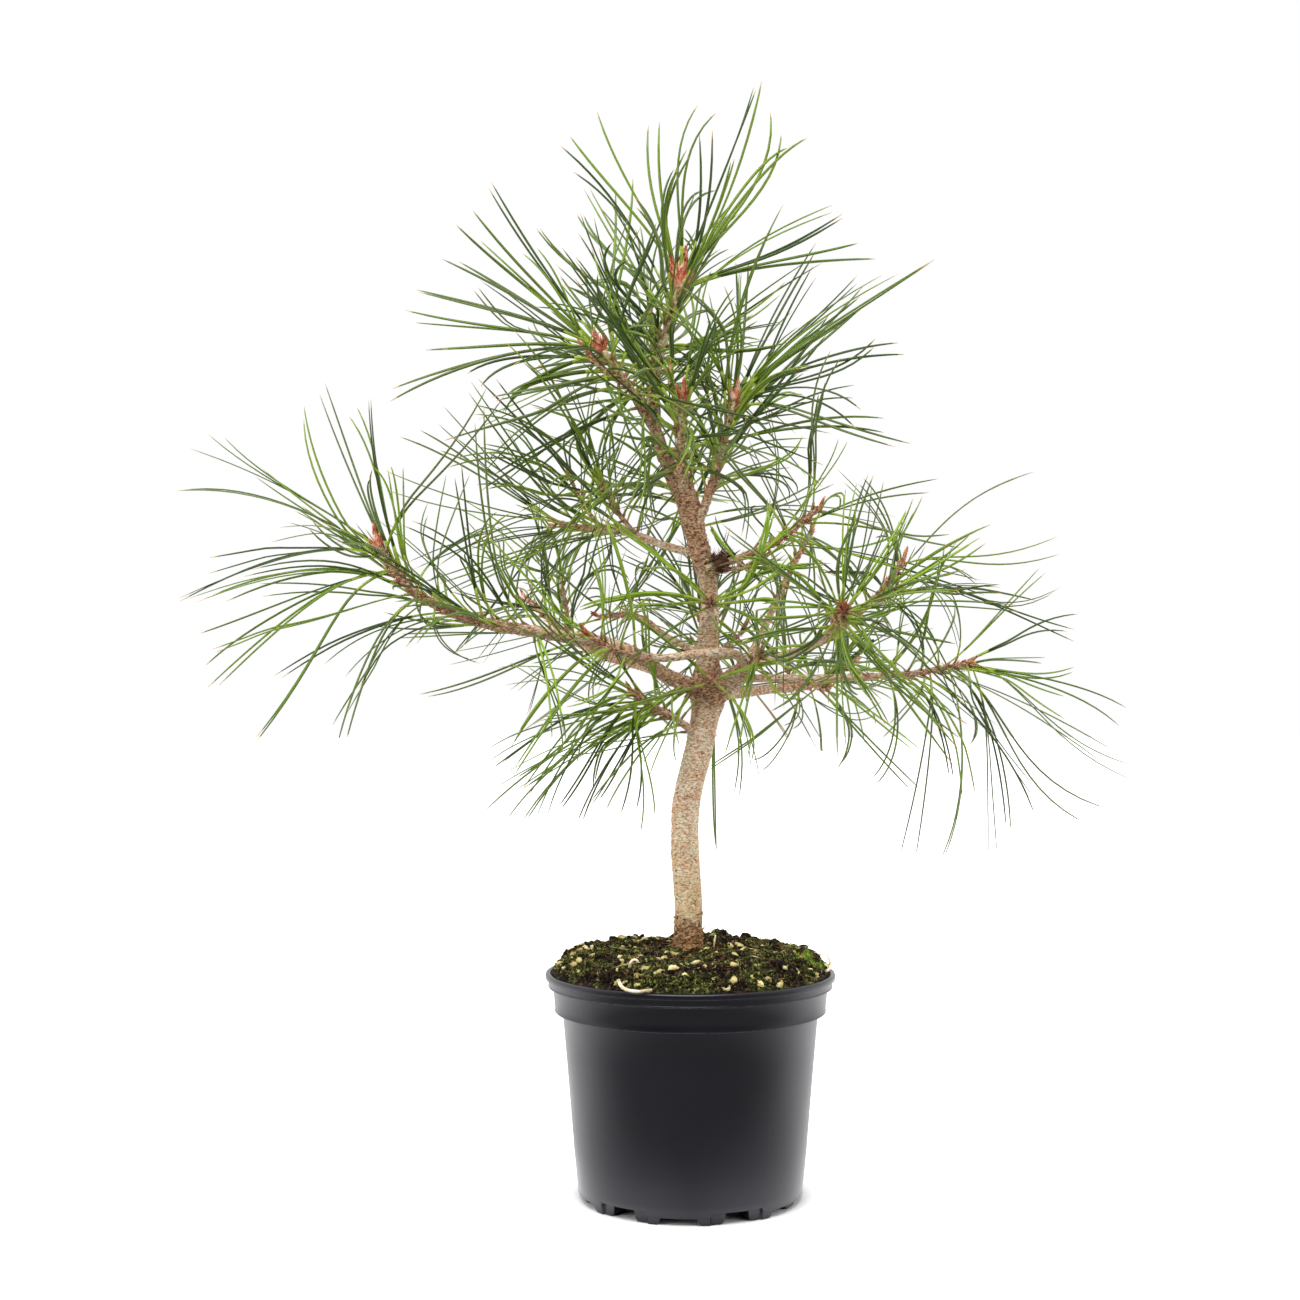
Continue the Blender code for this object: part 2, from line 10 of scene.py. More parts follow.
import bpy
import numpy as np
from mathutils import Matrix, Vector

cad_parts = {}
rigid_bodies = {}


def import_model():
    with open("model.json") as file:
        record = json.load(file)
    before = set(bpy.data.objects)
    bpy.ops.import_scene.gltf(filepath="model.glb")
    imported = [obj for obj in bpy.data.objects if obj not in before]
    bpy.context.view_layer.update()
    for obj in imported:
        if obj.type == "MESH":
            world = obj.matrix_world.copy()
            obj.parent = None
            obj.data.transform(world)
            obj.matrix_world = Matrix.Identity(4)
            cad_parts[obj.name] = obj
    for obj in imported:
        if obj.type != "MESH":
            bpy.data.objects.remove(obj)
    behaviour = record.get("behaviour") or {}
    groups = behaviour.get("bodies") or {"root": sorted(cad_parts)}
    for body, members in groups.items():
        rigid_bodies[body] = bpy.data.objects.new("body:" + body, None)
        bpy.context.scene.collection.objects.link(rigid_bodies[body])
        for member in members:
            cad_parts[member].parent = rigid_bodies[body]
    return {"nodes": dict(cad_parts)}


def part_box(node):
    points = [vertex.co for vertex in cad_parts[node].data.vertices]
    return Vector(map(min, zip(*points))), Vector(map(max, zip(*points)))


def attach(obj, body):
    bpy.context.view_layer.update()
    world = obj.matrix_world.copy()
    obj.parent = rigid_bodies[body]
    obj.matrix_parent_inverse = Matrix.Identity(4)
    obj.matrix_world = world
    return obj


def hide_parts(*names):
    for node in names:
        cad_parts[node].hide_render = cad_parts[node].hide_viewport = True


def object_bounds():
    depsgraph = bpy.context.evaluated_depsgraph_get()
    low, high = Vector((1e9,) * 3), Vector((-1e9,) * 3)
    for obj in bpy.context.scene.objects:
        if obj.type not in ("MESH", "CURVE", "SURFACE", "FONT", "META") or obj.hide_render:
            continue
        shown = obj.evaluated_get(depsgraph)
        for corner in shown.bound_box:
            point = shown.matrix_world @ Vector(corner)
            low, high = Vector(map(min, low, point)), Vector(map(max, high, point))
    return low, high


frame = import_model()
CAD_BOX = [list(corner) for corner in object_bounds()]
print("packed box", CAD_BOX)

# %% [markdown]
# ## Places
# All sizes are counted in millimetres from the middle of the pot's foot on the ground: right, back, up.
# The pot stands beside the origin, because the origin lies under the middle of the whole outline. So one
# function moves a place from the pot's axis into the model.

# %% Places from the pot's axis
MM = 0.001
SEED = 41
POT_LOW, POT_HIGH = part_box("pot")
AXIS = np.array([(POT_LOW.x + POT_HIGH.x) / 2, (POT_LOW.y + POT_HIGH.y) / 2, 0.0])
BOX_LOW, BOX_HIGH = (np.array(corner) for corner in CAD_BOX)


def place(points_mm):
    """Points counted in millimetres from the pot's axis, as metres in the model."""
    return np.asarray(points_mm, float) * MM + AXIS


print("pot axis at", AXIS.round(4))

# %% [markdown]
# ## Meshes from arrays
# A pine has thousands of needles. Blender builds them fast when all points and faces go in as two arrays.
# Each mesh is closed, and its faces are turned outwards by the sign of its volume.


# %% Make a mesh from arrays
def mesh_object(name, points, faces, materials, smooth=True, face_material=None):
    points = np.asarray(points, np.float32)
    faces = np.asarray(faces, np.int32)
    corners = points[faces[:, :3]].astype(float)
    signed = np.einsum("ij,ij->i", corners[:, 0], np.cross(corners[:, 1], corners[:, 2])).sum()
    if faces.shape[1] == 4:
        rest = points[faces[:, [0, 2, 3]]].astype(float)
        signed += np.einsum("ij,ij->i", rest[:, 0], np.cross(rest[:, 1], rest[:, 2])).sum()
    if signed < 0:
        faces = faces[:, ::-1]
    mesh = bpy.data.meshes.new(name)
    mesh.vertices.add(len(points))
    mesh.vertices.foreach_set("co", points.ravel())
    mesh.loops.add(faces.size)
    mesh.loops.foreach_set("vertex_index", np.ascontiguousarray(faces).ravel())
    mesh.polygons.add(len(faces))
    mesh.polygons.foreach_set("loop_start", np.arange(0, faces.size, faces.shape[1], dtype=np.int32))
    if face_material is not None:
        mesh.polygons.foreach_set("material_index", np.asarray(face_material, np.int32))
    mesh.update(calc_edges=True)
    mesh.validate()
    for material in materials:
        mesh.materials.append(material)
    if smooth:
        mesh.shade_smooth()
    item = bpy.data.objects.new(name, mesh)
    bpy.context.scene.collection.objects.link(item)
    return item


def triangles(item):
    return sum(len(polygon.vertices) - 2 for polygon in item.data.polygons)


def finish_piece(item, slot, *nodes):
    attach(item, "root")
    if nodes:
        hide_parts(*nodes)
    print(item.name, triangles(item), "triangles")


# %% [markdown]
# ## Uneven surfaces
# Bark, peat and bud scales are never even. A value noise over a cube grid gives the same bumps each run, and
# works on whole arrays of points at once.


# %% Noise over points
def lattice(cell, seed):
    mixed = cell[..., 0] * 374761393 + cell[..., 1] * 668265263 + cell[..., 2] * 69069 + seed * 9746347
    mixed = (mixed ^ (mixed >> 13)) * 1274126177 & 0xFFFFFFFF
    return ((mixed ^ (mixed >> 16)) & 0xFFFF) / 0xFFFF


def bumps(points, size, seed):
    """Smooth noise from -1 to 1 with bumps about that size."""
    spot = np.asarray(points, float) / size
    cell = np.floor(spot).astype(np.int64)
    part = spot - cell
    part = part * part * (3 - 2 * part)
    total = np.zeros(spot.shape[:-1])
    for corner in np.ndindex(2, 2, 2):
        step = np.array(corner)
        weight = np.where(step == 1, part, 1 - part).prod(axis=-1)
        total += weight * lattice(cell + step, seed)
    return total * 2 - 1


def ridges(points, size, seed):
    """Noise with sharp crests, from 0 in the hollows to 1 on the crests."""
    return 1 - np.abs(bumps(points, size, seed))


print("noise at the pot's axis", round(float(bumps(AXIS, 0.01, SEED)), 3))


# %% [markdown]
# ## Limbs
# The trunk and boughs follow smooth curves through a few places measured on the plant. Each is a tube whose
# sides are pushed in and out by the bark's relief. The same curves carry the needles.

# %% Trunk and bough routes
TRUNK_ROUTE = (
    (-1.4, 0, 161), (-1.2, 0, 190), (-3.7, 0, 237), (-2.3, 0, 258), (6.5, 0, 297), (12.0, 0, 330),
    (11.2, 0, 358), (13.0, 2, 394), (3.5, 2, 434), (-5.0, 4, 466), (-19.0, 8, 490), (-24.0, 12, 522),
    (-17.0, 11, 564), (-7.0, 8, 598),
)
TRUNK_GIRTH = (
    (161, 9.0), (320, 9.0), (352, 7.3), (395, 5.4), (416, 6.6), (436, 7.0), (458, 7.6), (478, 4.6),
    (522, 3.2), (598, 2.5),
)
SWELLINGS = ((161, 1.1, 5), (331, 4.2, 10))

# name: (radius at the root and at the bud, places along the limb)
LIMBS = {
    "right_knob": ((8.5, 6.0), ((12, -1, 329), (26, -2, 337), (38, -3, 347))),
    "left_long_bough": (
        (5.2, 2.3),
        (
            (10, -2, 332), (-12, -6, 339), (-39, -17, 356), (-88, -39, 367), (-134, -59, 375),
            (-175, -75, 395), (-194, -81, 420),
        ),
    ),
    "right_low_bough": (
        (2.6, 1.6),
        ((32, -3, 339), (65, -8, 339), (113, -20, 340), (142, -28, 342), (178, -38, 349)),
    ),
    "right_long_bough": (
        (2.7, 1.8),
        ((34, -2, 345), (56, 6, 352), (89, 9, 365), (119, 2, 389), (139, -8, 415)),
    ),
    "right_front_bough": ((2.2, 1.6), ((76, 9, 360), (83, -8, 363), (91, -62, 375), (92, -93, 381))),
    "left_front_bough": (
        (2.8, 1.7),
        ((37, -6, 347), (30, -15, 354), (8, -23, 355), (-19, -34, 352), (-47, -48, 357), (-65, -62, 366)),
    ),
    "knob_twig": ((2.0, 1.5), ((38, -4, 347), (43, -14, 352), (45, -26, 357))),
    "back_high_bough": ((2.6, 1.6), ((36, 0, 347), (49, 14, 371), (65, 33, 404), (85, 54, 441))),
    "back_right_bough": ((3.8, 2.1), ((14, 3, 327), (52, 48, 331), (93, 95, 336), (121, 125, 350))),
    "back_left_bough": ((4.4, 2.2), ((8, 4, 331), (-24, 46, 345), (-74, 95, 362), (-117, 134, 397))),
    "back_low_bough": ((4.0, 2.1), ((12, 4, 340), (15, 48, 350), (20, 104, 356), (22, 160, 372))),
    "left_back_bough": ((2.4, 1.6), ((9, 3, 354), (-14, 16, 366), (-36, 34, 381), (-61, 54, 381))),
    "lower_left_bough": ((2.2, 1.7), ((5, -3, 300), (-7, -12, 311), (-26, -25, 322), (-38, -36, 331))),
    "trunk_front_twig": ((1.8, 1.4), ((12.5, -2, 385), (13, -12, 387), (13, -22, 389))),
    "right_upper_bough": ((2.7, 1.8), ((11, 0, 411), (33, -7, 418), (54, -13, 427), (83, -25, 449))),
    "left_mid_bough": (
        (2.7, 1.6),
        ((8, 2, 420), (-16, 14, 427), (-41, 30, 437), (-67, 45, 441), (-92, 56, 446)),
    ),
    "left_mid_twig": ((1.8, 1.4), ((-37, 27, 436), (-47, 21, 449), (-58, 12, 466))),
    "back_upper_bough": ((3.2, 2.0), ((10, 3, 406), (8, 40, 428), (2, 80, 452), (0, 114, 486))),
    "upper_right_bough": ((3.2, 2.0), ((4, 0, 437), (13, -5, 462), (22, -12, 494), (29, -18, 520))),
    "centre_front_bough": ((3.0, 2.0), ((-4, 2, 460), (-6, -14, 481), (-6, -23, 507), (-5, -28, 520))),
    "upper_left_bough": ((3.0, 2.0), ((-20, 7, 492), (-26, -3, 508), (-41, -17, 530), (-57, -27, 551))),
    "upper_back_bough": ((2.7, 1.8), ((-23, 12, 512), (-26, 35, 530), (-24, 55, 548), (-22, 69, 567))),
}


def smooth_route(places_mm, step_mm):
    """Evenly spaced points, in the model, on a smooth curve through the places."""
    way = place(places_mm)
    length = np.r_[0, np.cumsum(np.linalg.norm(np.diff(way, axis=0), axis=1))]
    slope = np.gradient(way, length, axis=0)
    dense = []
    for i in range(len(way) - 1):
        span = length[i + 1] - length[i]
        for t in np.linspace(0, 1, 24, endpoint=False):
            dense.append(
                (2 * t**3 - 3 * t**2 + 1) * way[i]
                + (t**3 - 2 * t**2 + t) * span * slope[i]
                + (3 * t**2 - 2 * t**3) * way[i + 1]
                + (t**3 - t**2) * span * slope[i + 1]
            )
    dense = np.array(dense + [way[-1]])
    run = np.r_[0, np.cumsum(np.linalg.norm(np.diff(dense, axis=0), axis=1))]
    even = np.linspace(0, run[-1], max(3, round(run[-1] / (step_mm * MM))) + 1)
    return np.stack([np.interp(even, run, dense[:, axis]) for axis in range(3)], axis=1)


def rings_round(route):
    """Two directions across the route at each point, turning as little as possible."""
    along = np.gradient(route, axis=0)
    along /= np.linalg.norm(along, axis=1)[:, None]
    across = np.empty_like(along)
    held = np.cross(along[0], (0.0, 1.0, 0.0) if abs(along[0][1]) < 0.9 else (1.0, 0.0, 0.0))
    for i, tangent in enumerate(along):
        held = held - tangent * (held @ tangent)
        held /= np.linalg.norm(held)
        across[i] = held
    return along, across, np.cross(along, across)


def halved(quads):
    return np.concatenate([quads[:, [0, 1, 2]], quads[:, [0, 2, 3]]])


def sideways(across, third, turn):
    """Directions across a limb at those turns."""
    return np.cos(turn)[..., None] * across + np.sin(turn)[..., None] * third


def ring_quads(rows, sides):
    row = np.arange(rows - 1)[:, None] * sides
    side = np.arange(sides)[None, :]
    following = (side + 1) % sides
    quads = [row + side, row + following, row + sides + following, row + sides + side]
    return np.stack(quads, axis=-1).reshape(-1, 4)


def tube_faces(rows, sides, start=0):
    """Faces of a tube of that many rows, with a point at each end."""
    split = halved(ring_quads(rows, sides))
    side = np.arange(sides)
    following = (side + 1) % sides
    last = (rows - 1) * sides
    foot = np.stack([following, side, np.full(sides, rows * sides)], axis=1)
    tip = np.stack([last + side, last + following, np.full(sides, rows * sides + 1)], axis=1)
    return np.concatenate([split, foot, tip]) + start


def trunk_radii(route):
    height = (route[:, 2] - AXIS[2]) / MM
    heights, radii = zip(*TRUNK_GIRTH)
    girth = np.interp(height, heights, radii)
    for middle, extra, spread in SWELLINGS:
        girth = girth + extra * np.exp(-(((height - middle) / spread) ** 2))
    return girth * MM


trunk_route = smooth_route(TRUNK_ROUTE, 0.75)
print("trunk length", round(float(np.linalg.norm(np.diff(trunk_route, axis=0), axis=1).sum()), 3))

# %% [markdown]
# ## Materials
# Each finish is a Principled shader fed by a small group of nodes. A group gives only a colour, a roughness
# and a height for the bump, so that the same group can serve several finishes with other sizes.


# %% Node helpers
def with_inputs(made, values):
    """Sets the node's inputs by name, with _ for a space."""
    for key, value in values.items():
        made.inputs[key.replace("_", " ")].default_value = value
    return made


def new_material(name, **inputs):
    material = bpy.data.materials.new(name)
    material.use_nodes = True
    shader = with_inputs(material.node_tree.nodes["Principled BSDF"], inputs)
    return material, material.node_tree, shader


def node(tree, kind, **inputs):
    return with_inputs(tree.nodes.new(kind), inputs)


def coordinates(tree, output="Object"):
    """Texture coordinates, and their X, Y and Z apart."""
    places = tree.nodes.new("ShaderNodeTexCoord").outputs[output]
    parts = tree.nodes.new("ShaderNodeSeparateXYZ")
    tree.links.new(places, parts.inputs["Vector"])
    return places, parts.outputs


def reckon(tree, operation, *values, clamp=False):
    """A Math node. Each value is a number or the output of another node."""
    made = tree.nodes.new("ShaderNodeMath")
    made.operation = operation
    made.use_clamp = clamp
    for socket, value in zip(made.inputs, values):
        if isinstance(value, (int, float)):
            socket.default_value = value
        else:
            tree.links.new(value, socket)
    return made.outputs["Value"]


def between(tree, value, **limits):
    """A Map Range node for that output."""
    made = node(tree, "ShaderNodeMapRange", **limits)
    tree.links.new(value, made.inputs["Value"])
    return made.outputs["Result"]


def ramp(tree, stops, factor):
    """A colour ramp: stops are (position, colour)."""
    made = tree.nodes.new("ShaderNodeValToRGB")
    points = made.color_ramp.elements
    while len(points) < len(stops):
        points.new(0.5)
    for point, (position, colour) in zip(points, stops):
        point.position = position
        point.color = (*colour, 1.0)
    tree.links.new(factor, made.inputs["Fac"])
    return made.outputs["Color"]


def mixed(tree, factor, first, second, blend="MIX"):
    made = tree.nodes.new("ShaderNodeMix")
    made.data_type = "RGBA"
    made.blend_type = blend
    sockets = (made.inputs["Factor"], made.inputs[6], made.inputs[7])
    for socket, value in zip(sockets, (factor, first, second)):
        if isinstance(value, bpy.types.NodeSocket):
            tree.links.new(value, socket)
        else:
            socket.default_value = value if isinstance(value, float) else (*value, 1.0)
    return made.outputs[2]


def add_bump(tree, shader, height, strength, distance):
    made = node(tree, "ShaderNodeBump", Strength=strength, Distance=distance)
    tree.links.new(height, made.inputs["Height"])
    tree.links.new(made.outputs["Normal"], shader.inputs["Normal"])


def told(material):
    """Prints how many nodes the material has, and hands it back."""
    print(material.name, "has", len(material.node_tree.nodes), "nodes")
    return material


# %% [markdown]
# ### Speckle
# Bark, peat, moss and plastic all vary at three scales: broad patches, flecks and fine grain. Each material
# could have noise nodes of its own, but one group with named inputs keeps them alike and easy to tune. It
# reads the object's own coordinates, so a pattern stays in its place when the view turns.

# %% The speckle group
def speckle_group():
    """Three layers of noise over the object's own coordinates: broad patches, flecks and grain."""
    tree = bpy.data.node_groups.new("speckle", "ShaderNodeTree")
    for name, default in (("Patch size", 60.0), ("Fleck size", 400.0), ("Stretch", 1.0)):
        socket = tree.interface.new_socket(name, in_out="INPUT", socket_type="NodeSocketFloat")
        socket.default_value = default
    for name in ("Patches", "Flecks", "Grain"):
        tree.interface.new_socket(name, in_out="OUTPUT", socket_type="NodeSocketFloat")
    inner = tree.nodes.new("NodeGroupInput")
    outer = tree.nodes.new("NodeGroupOutput")
    places, _ = coordinates(tree)
    stretch = node(tree, "ShaderNodeCombineXYZ", X=1.0, Y=1.0)
    tree.links.new(inner.outputs["Stretch"], stretch.inputs["Z"])
    scaled = tree.nodes.new("ShaderNodeVectorMath")
    scaled.operation = "MULTIPLY"
    tree.links.new(places, scaled.inputs[0])
    tree.links.new(stretch.outputs["Vector"], scaled.inputs[1])
    patches = node(tree, "ShaderNodeTexNoise", Detail=3.0, Roughness=0.6)
    flecks = node(tree, "ShaderNodeTexNoise", Detail=4.0, Roughness=0.65)
    grain = node(tree, "ShaderNodeTexNoise", Scale=2600.0, Detail=2.0)
    for made in (patches, flecks, grain):
        tree.links.new(scaled.outputs["Vector"], made.inputs["Vector"])
    tree.links.new(inner.outputs["Patch size"], patches.inputs["Scale"])
    tree.links.new(inner.outputs["Fleck size"], flecks.inputs["Scale"])
    tree.links.new(patches.outputs["Fac"], outer.inputs["Patches"])
    tree.links.new(flecks.outputs["Fac"], outer.inputs["Flecks"])
    tree.links.new(grain.outputs["Fac"], outer.inputs["Grain"])
    return tree


SPECKLE = speckle_group()
print(len(SPECKLE.nodes), "nodes in the speckle group")


def speckle(tree, patch, fleck, stretch=1.0):
    made = tree.nodes.new("ShaderNodeGroup")
    made.node_tree = SPECKLE
    return with_inputs(made, {"Patch size": patch, "Fleck size": fleck, "Stretch": stretch})


# %% [markdown]
# ### Pot plastic
# A nursery pot is thin black plastic with a satin shine, and carries specks of dust. The pale lines along its
# moulded edges are painted highlights, broken up by noise, and its feet are painted paler to lift them out of
# the shade they stand in. A picture could show that, but noise and the height above the ground are enough to
# place the marks, and they stay sharp from close by.

# %% Pot plastic
# heights of the moulded edges that get a painted highlight line, and half the height of each line
EDGE_HIGHLIGHT_HEIGHTS = (0.1221, 0.1382, 0.1433)
EDGE_HIGHLIGHT_HALF = 0.00022


def pot_material():
    material, tree, shader = new_material("pot_plastic", Specular_IOR_Level=0.55)
    marks = speckle(tree, 18.0, 900.0)
    dust = ramp(tree, ((0.70, (0, 0, 0)), (0.76, (1, 1, 1))), marks.outputs["Flecks"])
    tone = ramp(tree, ((0.3, (0.005, 0.005, 0.007)), (0.7, (0.007, 0.007, 0.010))), marks.outputs["Patches"])
    colour = mixed(tree, dust, tone, (0.045, 0.045, 0.045))
    _, parts = coordinates(tree)
    # a thin painted highlight along each moulded edge, broken up by noise
    highlight_breakup = ramp(tree, ((0.40, (0, 0, 0)), (0.60, (0.8, 0.8, 0.8))), marks.outputs["Flecks"])
    for height in EDGE_HIGHLIGHT_HEIGHTS:
        line = reckon(tree, "COMPARE", parts["Z"], height, EDGE_HIGHLIGHT_HALF)
        edge = mixed(tree, line, (0.0, 0.0, 0.0), highlight_breakup)
        colour = mixed(tree, edge, colour, (0.075, 0.078, 0.085))
    # the feet are painted paler, which lifts them out of the shade they stand in
    feet = between(tree, parts["Z"], From_Min=0.0120, From_Max=0.0095, To_Max=0.9)
    colour = mixed(tree, feet, colour, (0.014, 0.014, 0.017))
    tree.links.new(colour, shader.inputs["Base Color"])
    gloss = ramp(tree, ((0.3, (0.28, 0.28, 0.28)), (0.7, (0.35, 0.35, 0.35))), marks.outputs["Patches"])
    tree.links.new(gloss, shader.inputs["Roughness"])
    shader.inputs["Specular Tint"].default_value = (0.95, 0.92, 1.0, 1.0)
    add_bump(tree, shader, marks.outputs["Grain"], 0.12, 0.0002)
    return material


POT = told(pot_material())


# %% [markdown]
# ### Bark
# Young pine bark is tan with grey patches and small red-brown and dark marks, a little green low down and
# rusty at the foot, where the dark rust tones also paint the shade in which the trunk meets the soil. Younger
# wood is red-brown, the last shoot is pale, and the old cut is dark with resin.
# One material serves them all: each mesh stores how old its bark is at every point, and the tones follow it.

# %% Bark
def bark_tones(tree, flecks, dark, middle, light):
    return ramp(tree, ((0.35, dark), (0.46, middle), (0.62, light)), flecks)


def bark_material():
    """The mesh says how old the bark is: 0 tan and smooth, 1 red-brown and scaly, 2 a pale shoot, 3 resin."""
    material, tree, shader = new_material("bark", Roughness=0.82, Specular_IOR_Level=0.3)
    marks = speckle(tree, 70.0, 460.0, 2.0)
    spots = speckle(tree, 320.0, 1100.0, 1.6)
    flecks = marks.outputs["Flecks"]
    grey = bark_tones(tree, flecks, (0.300, 0.200, 0.120), (0.600, 0.490, 0.340), (0.830, 0.760, 0.600))
    tan = bark_tones(tree, flecks, (0.230, 0.110, 0.058), (0.540, 0.350, 0.215), (0.780, 0.620, 0.440))
    young = bark_tones(tree, flecks, (0.060, 0.026, 0.015), (0.250, 0.115, 0.058), (0.560, 0.370, 0.230))
    shoot = bark_tones(tree, flecks, (0.260, 0.150, 0.070), (0.480, 0.400, 0.220), (0.640, 0.580, 0.360))
    where = ramp(tree, ((0.40, (0, 0, 0)), (0.58, (1, 1, 1))), marks.outputs["Patches"])
    old = mixed(tree, where, grey, tan)
    _, parts = coordinates(tree)
    low = between(tree, parts["Z"], From_Min=0.26, From_Max=0.17, To_Max=0.42)
    old = mixed(tree, low, old, (0.430, 0.380, 0.150), "MIX")
    dark = ramp(tree, ((0.35, (1, 1, 1)), (0.40, (0, 0, 0))), spots.outputs["Patches"])
    red = ramp(tree, ((0.575, (0, 0, 0)), (0.64, (1, 1, 1))), spots.outputs["Patches"])
    old = mixed(tree, dark, old, (0.200, 0.105, 0.055))
    old = mixed(tree, red, old, (0.470, 0.215, 0.110))
    age = tree.nodes.new("ShaderNodeAttribute")
    age.attribute_name = "youth"
    colour = mixed(tree, age.outputs["Fac"], old, young)
    for step, finish in ((1.0, shoot), (2.0, (0.085, 0.040, 0.022))):
        beyond = reckon(tree, "SUBTRACT", age.outputs["Fac"], step, clamp=True)
        colour = mixed(tree, beyond, colour, finish)
    # rust at the foot, its tones also darkened as painted shade where the trunk meets the soil
    rust_and_shade = bark_tones(tree, flecks, (0.024, 0.013, 0.008), (0.150, 0.068, 0.026), (0.360, 0.210, 0.085))
    foot = between(tree, parts["Z"], From_Min=0.188, From_Max=0.166, To_Max=0.95)
    colour = mixed(tree, foot, colour, rust_and_shade)
    tree.links.new(colour, shader.inputs["Base Color"])
    add_bump(tree, shader, spots.outputs["Patches"], 0.7, 0.0010)
    return material


BARK = told(bark_material())


# %% [markdown]
# ### Soil, moss and chips
# The peat is almost black, with brown crumbs and mossy patches. Moss, chips and roots have three tones each,
# dealt out by noise, so no two grains look quite alike. One function makes each kind, as only tones differ.

# %% Soil, moss, chips
def soil_material():
    material, tree, shader = new_material("soil", Roughness=0.95, Specular_IOR_Level=0.12)
    marks = speckle(tree, 45.0, 500.0)
    peat = ramp(
        tree,
        ((0.38, (0.003, 0.002, 0.002)), (0.52, (0.014, 0.009, 0.006)), (0.64, (0.085, 0.048, 0.024))),
        marks.outputs["Flecks"],
    )
    mossy = ramp(tree, ((0.47, (0, 0, 0)), (0.60, (1, 1, 1))), marks.outputs["Patches"])
    green = ramp(
        tree,
        ((0.42, (0.005, 0.006, 0.002)), (0.56, (0.050, 0.052, 0.014)), (0.66, (0.240, 0.230, 0.075))),
        marks.outputs["Flecks"],
    )
    tree.links.new(mixed(tree, mossy, peat, green), shader.inputs["Base Color"])
    add_bump(tree, shader, marks.outputs["Flecks"], 0.8, 0.001)
    return material


def moss_material(name, dark, middle, light):
    material, tree, shader = new_material(name, Roughness=0.8, Specular_IOR_Level=0.15)
    marks = speckle(tree, 120.0, 420.0)
    colour = ramp(tree, ((0.42, dark), (0.52, middle), (0.63, light)), marks.outputs["Flecks"])
    tree.links.new(colour, shader.inputs["Base Color"])
    return material


def chip_material(name, dark, middle, light):
    material, tree, shader = new_material(name, Roughness=0.85)
    marks = speckle(tree, 140.0, 900.0)
    colour = ramp(tree, ((0.35, dark), (0.50, middle), (0.65, light)), marks.outputs["Patches"])
    tree.links.new(colour, shader.inputs["Base Color"])
    add_bump(tree, shader, marks.outputs["Flecks"], 0.5, 0.0005)
    return material


SOIL = told(soil_material())
MOSS = moss_material("moss", (0.006, 0.007, 0.002), (0.070, 0.082, 0.016), (0.480, 0.490, 0.120))
FRESH_MOSS = moss_material("fresh_moss", (0.050, 0.085, 0.010), (0.150, 0.240, 0.022), (0.330, 0.460, 0.050))
CHIPS = told(chip_material("chips", (0.220, 0.140, 0.045), (0.560, 0.470, 0.170), (0.800, 0.740, 0.420)))
ROOTS = chip_material("roots", (0.480, 0.360, 0.200), (0.740, 0.660, 0.460), (0.880, 0.840, 0.700))
FIBRES = chip_material("fibres", (0.090, 0.030, 0.014), (0.250, 0.095, 0.040), (0.420, 0.240, 0.120))


# %% [markdown]
# ### Buds and needles
# Buds are orange-red papery scales with pale resin. A needle is too thin to show a pattern: what the eye
# sees is that one pair is yellow-green and the next is blue-green. So each shade is a plain colour, and
# whole pairs are dealt out to the shades. The pale base, the dry tip and the sheath have shades too.

# %% Buds and needles
def bud_material():
    material, tree, shader = new_material("buds", Roughness=0.6)
    marks = speckle(tree, 160.0, 900.0)
    colour = ramp(
        tree,
        (
            (0.34, (0.200, 0.050, 0.026)),
            (0.46, (0.560, 0.160, 0.080)),
            (0.58, (0.800, 0.380, 0.240)),
            (0.70, (0.900, 0.740, 0.600)),
        ),
        marks.outputs["Patches"],
    )
    tree.links.new(colour, shader.inputs["Base Color"])
    add_bump(tree, shader, marks.outputs["Flecks"], 0.5, 0.0005)
    return material


def needle_material(name, colour):
    return new_material(name, Base_Color=(*colour, 1.0), Roughness=0.42, Specular_IOR_Level=0.30)[0]


SHADES = {
    "lime": (0.244, 0.376, 0.028),
    "fresh": (0.166, 0.254, 0.025),
    "mid": (0.108, 0.173, 0.022),
    "grey": (0.129, 0.178, 0.050),
    "dark": (0.052, 0.087, 0.017),
    "dry": (0.330, 0.220, 0.100),
    "base": (0.290, 0.390, 0.045),
    "tip": (0.480, 0.330, 0.100),
    "sheath": (0.360, 0.250, 0.110),
}
BUDS = told(bud_material())
NEEDLES = {name: needle_material("needles_" + name, colour) for name, colour in SHADES.items()}
print(len(bpy.data.materials), "materials")

# %% [markdown]
# ## Trunk and boughs
# Real pine bark of this age is nearly smooth with small level scales, and turns into rough overlapping scales
# where leaves sat on younger wood. The relief here is real geometry, one row every 0.75 mm, so it shows in
# the outline as well as in the light.


# %% Bark relief
LEAF_BASE = 0.0042


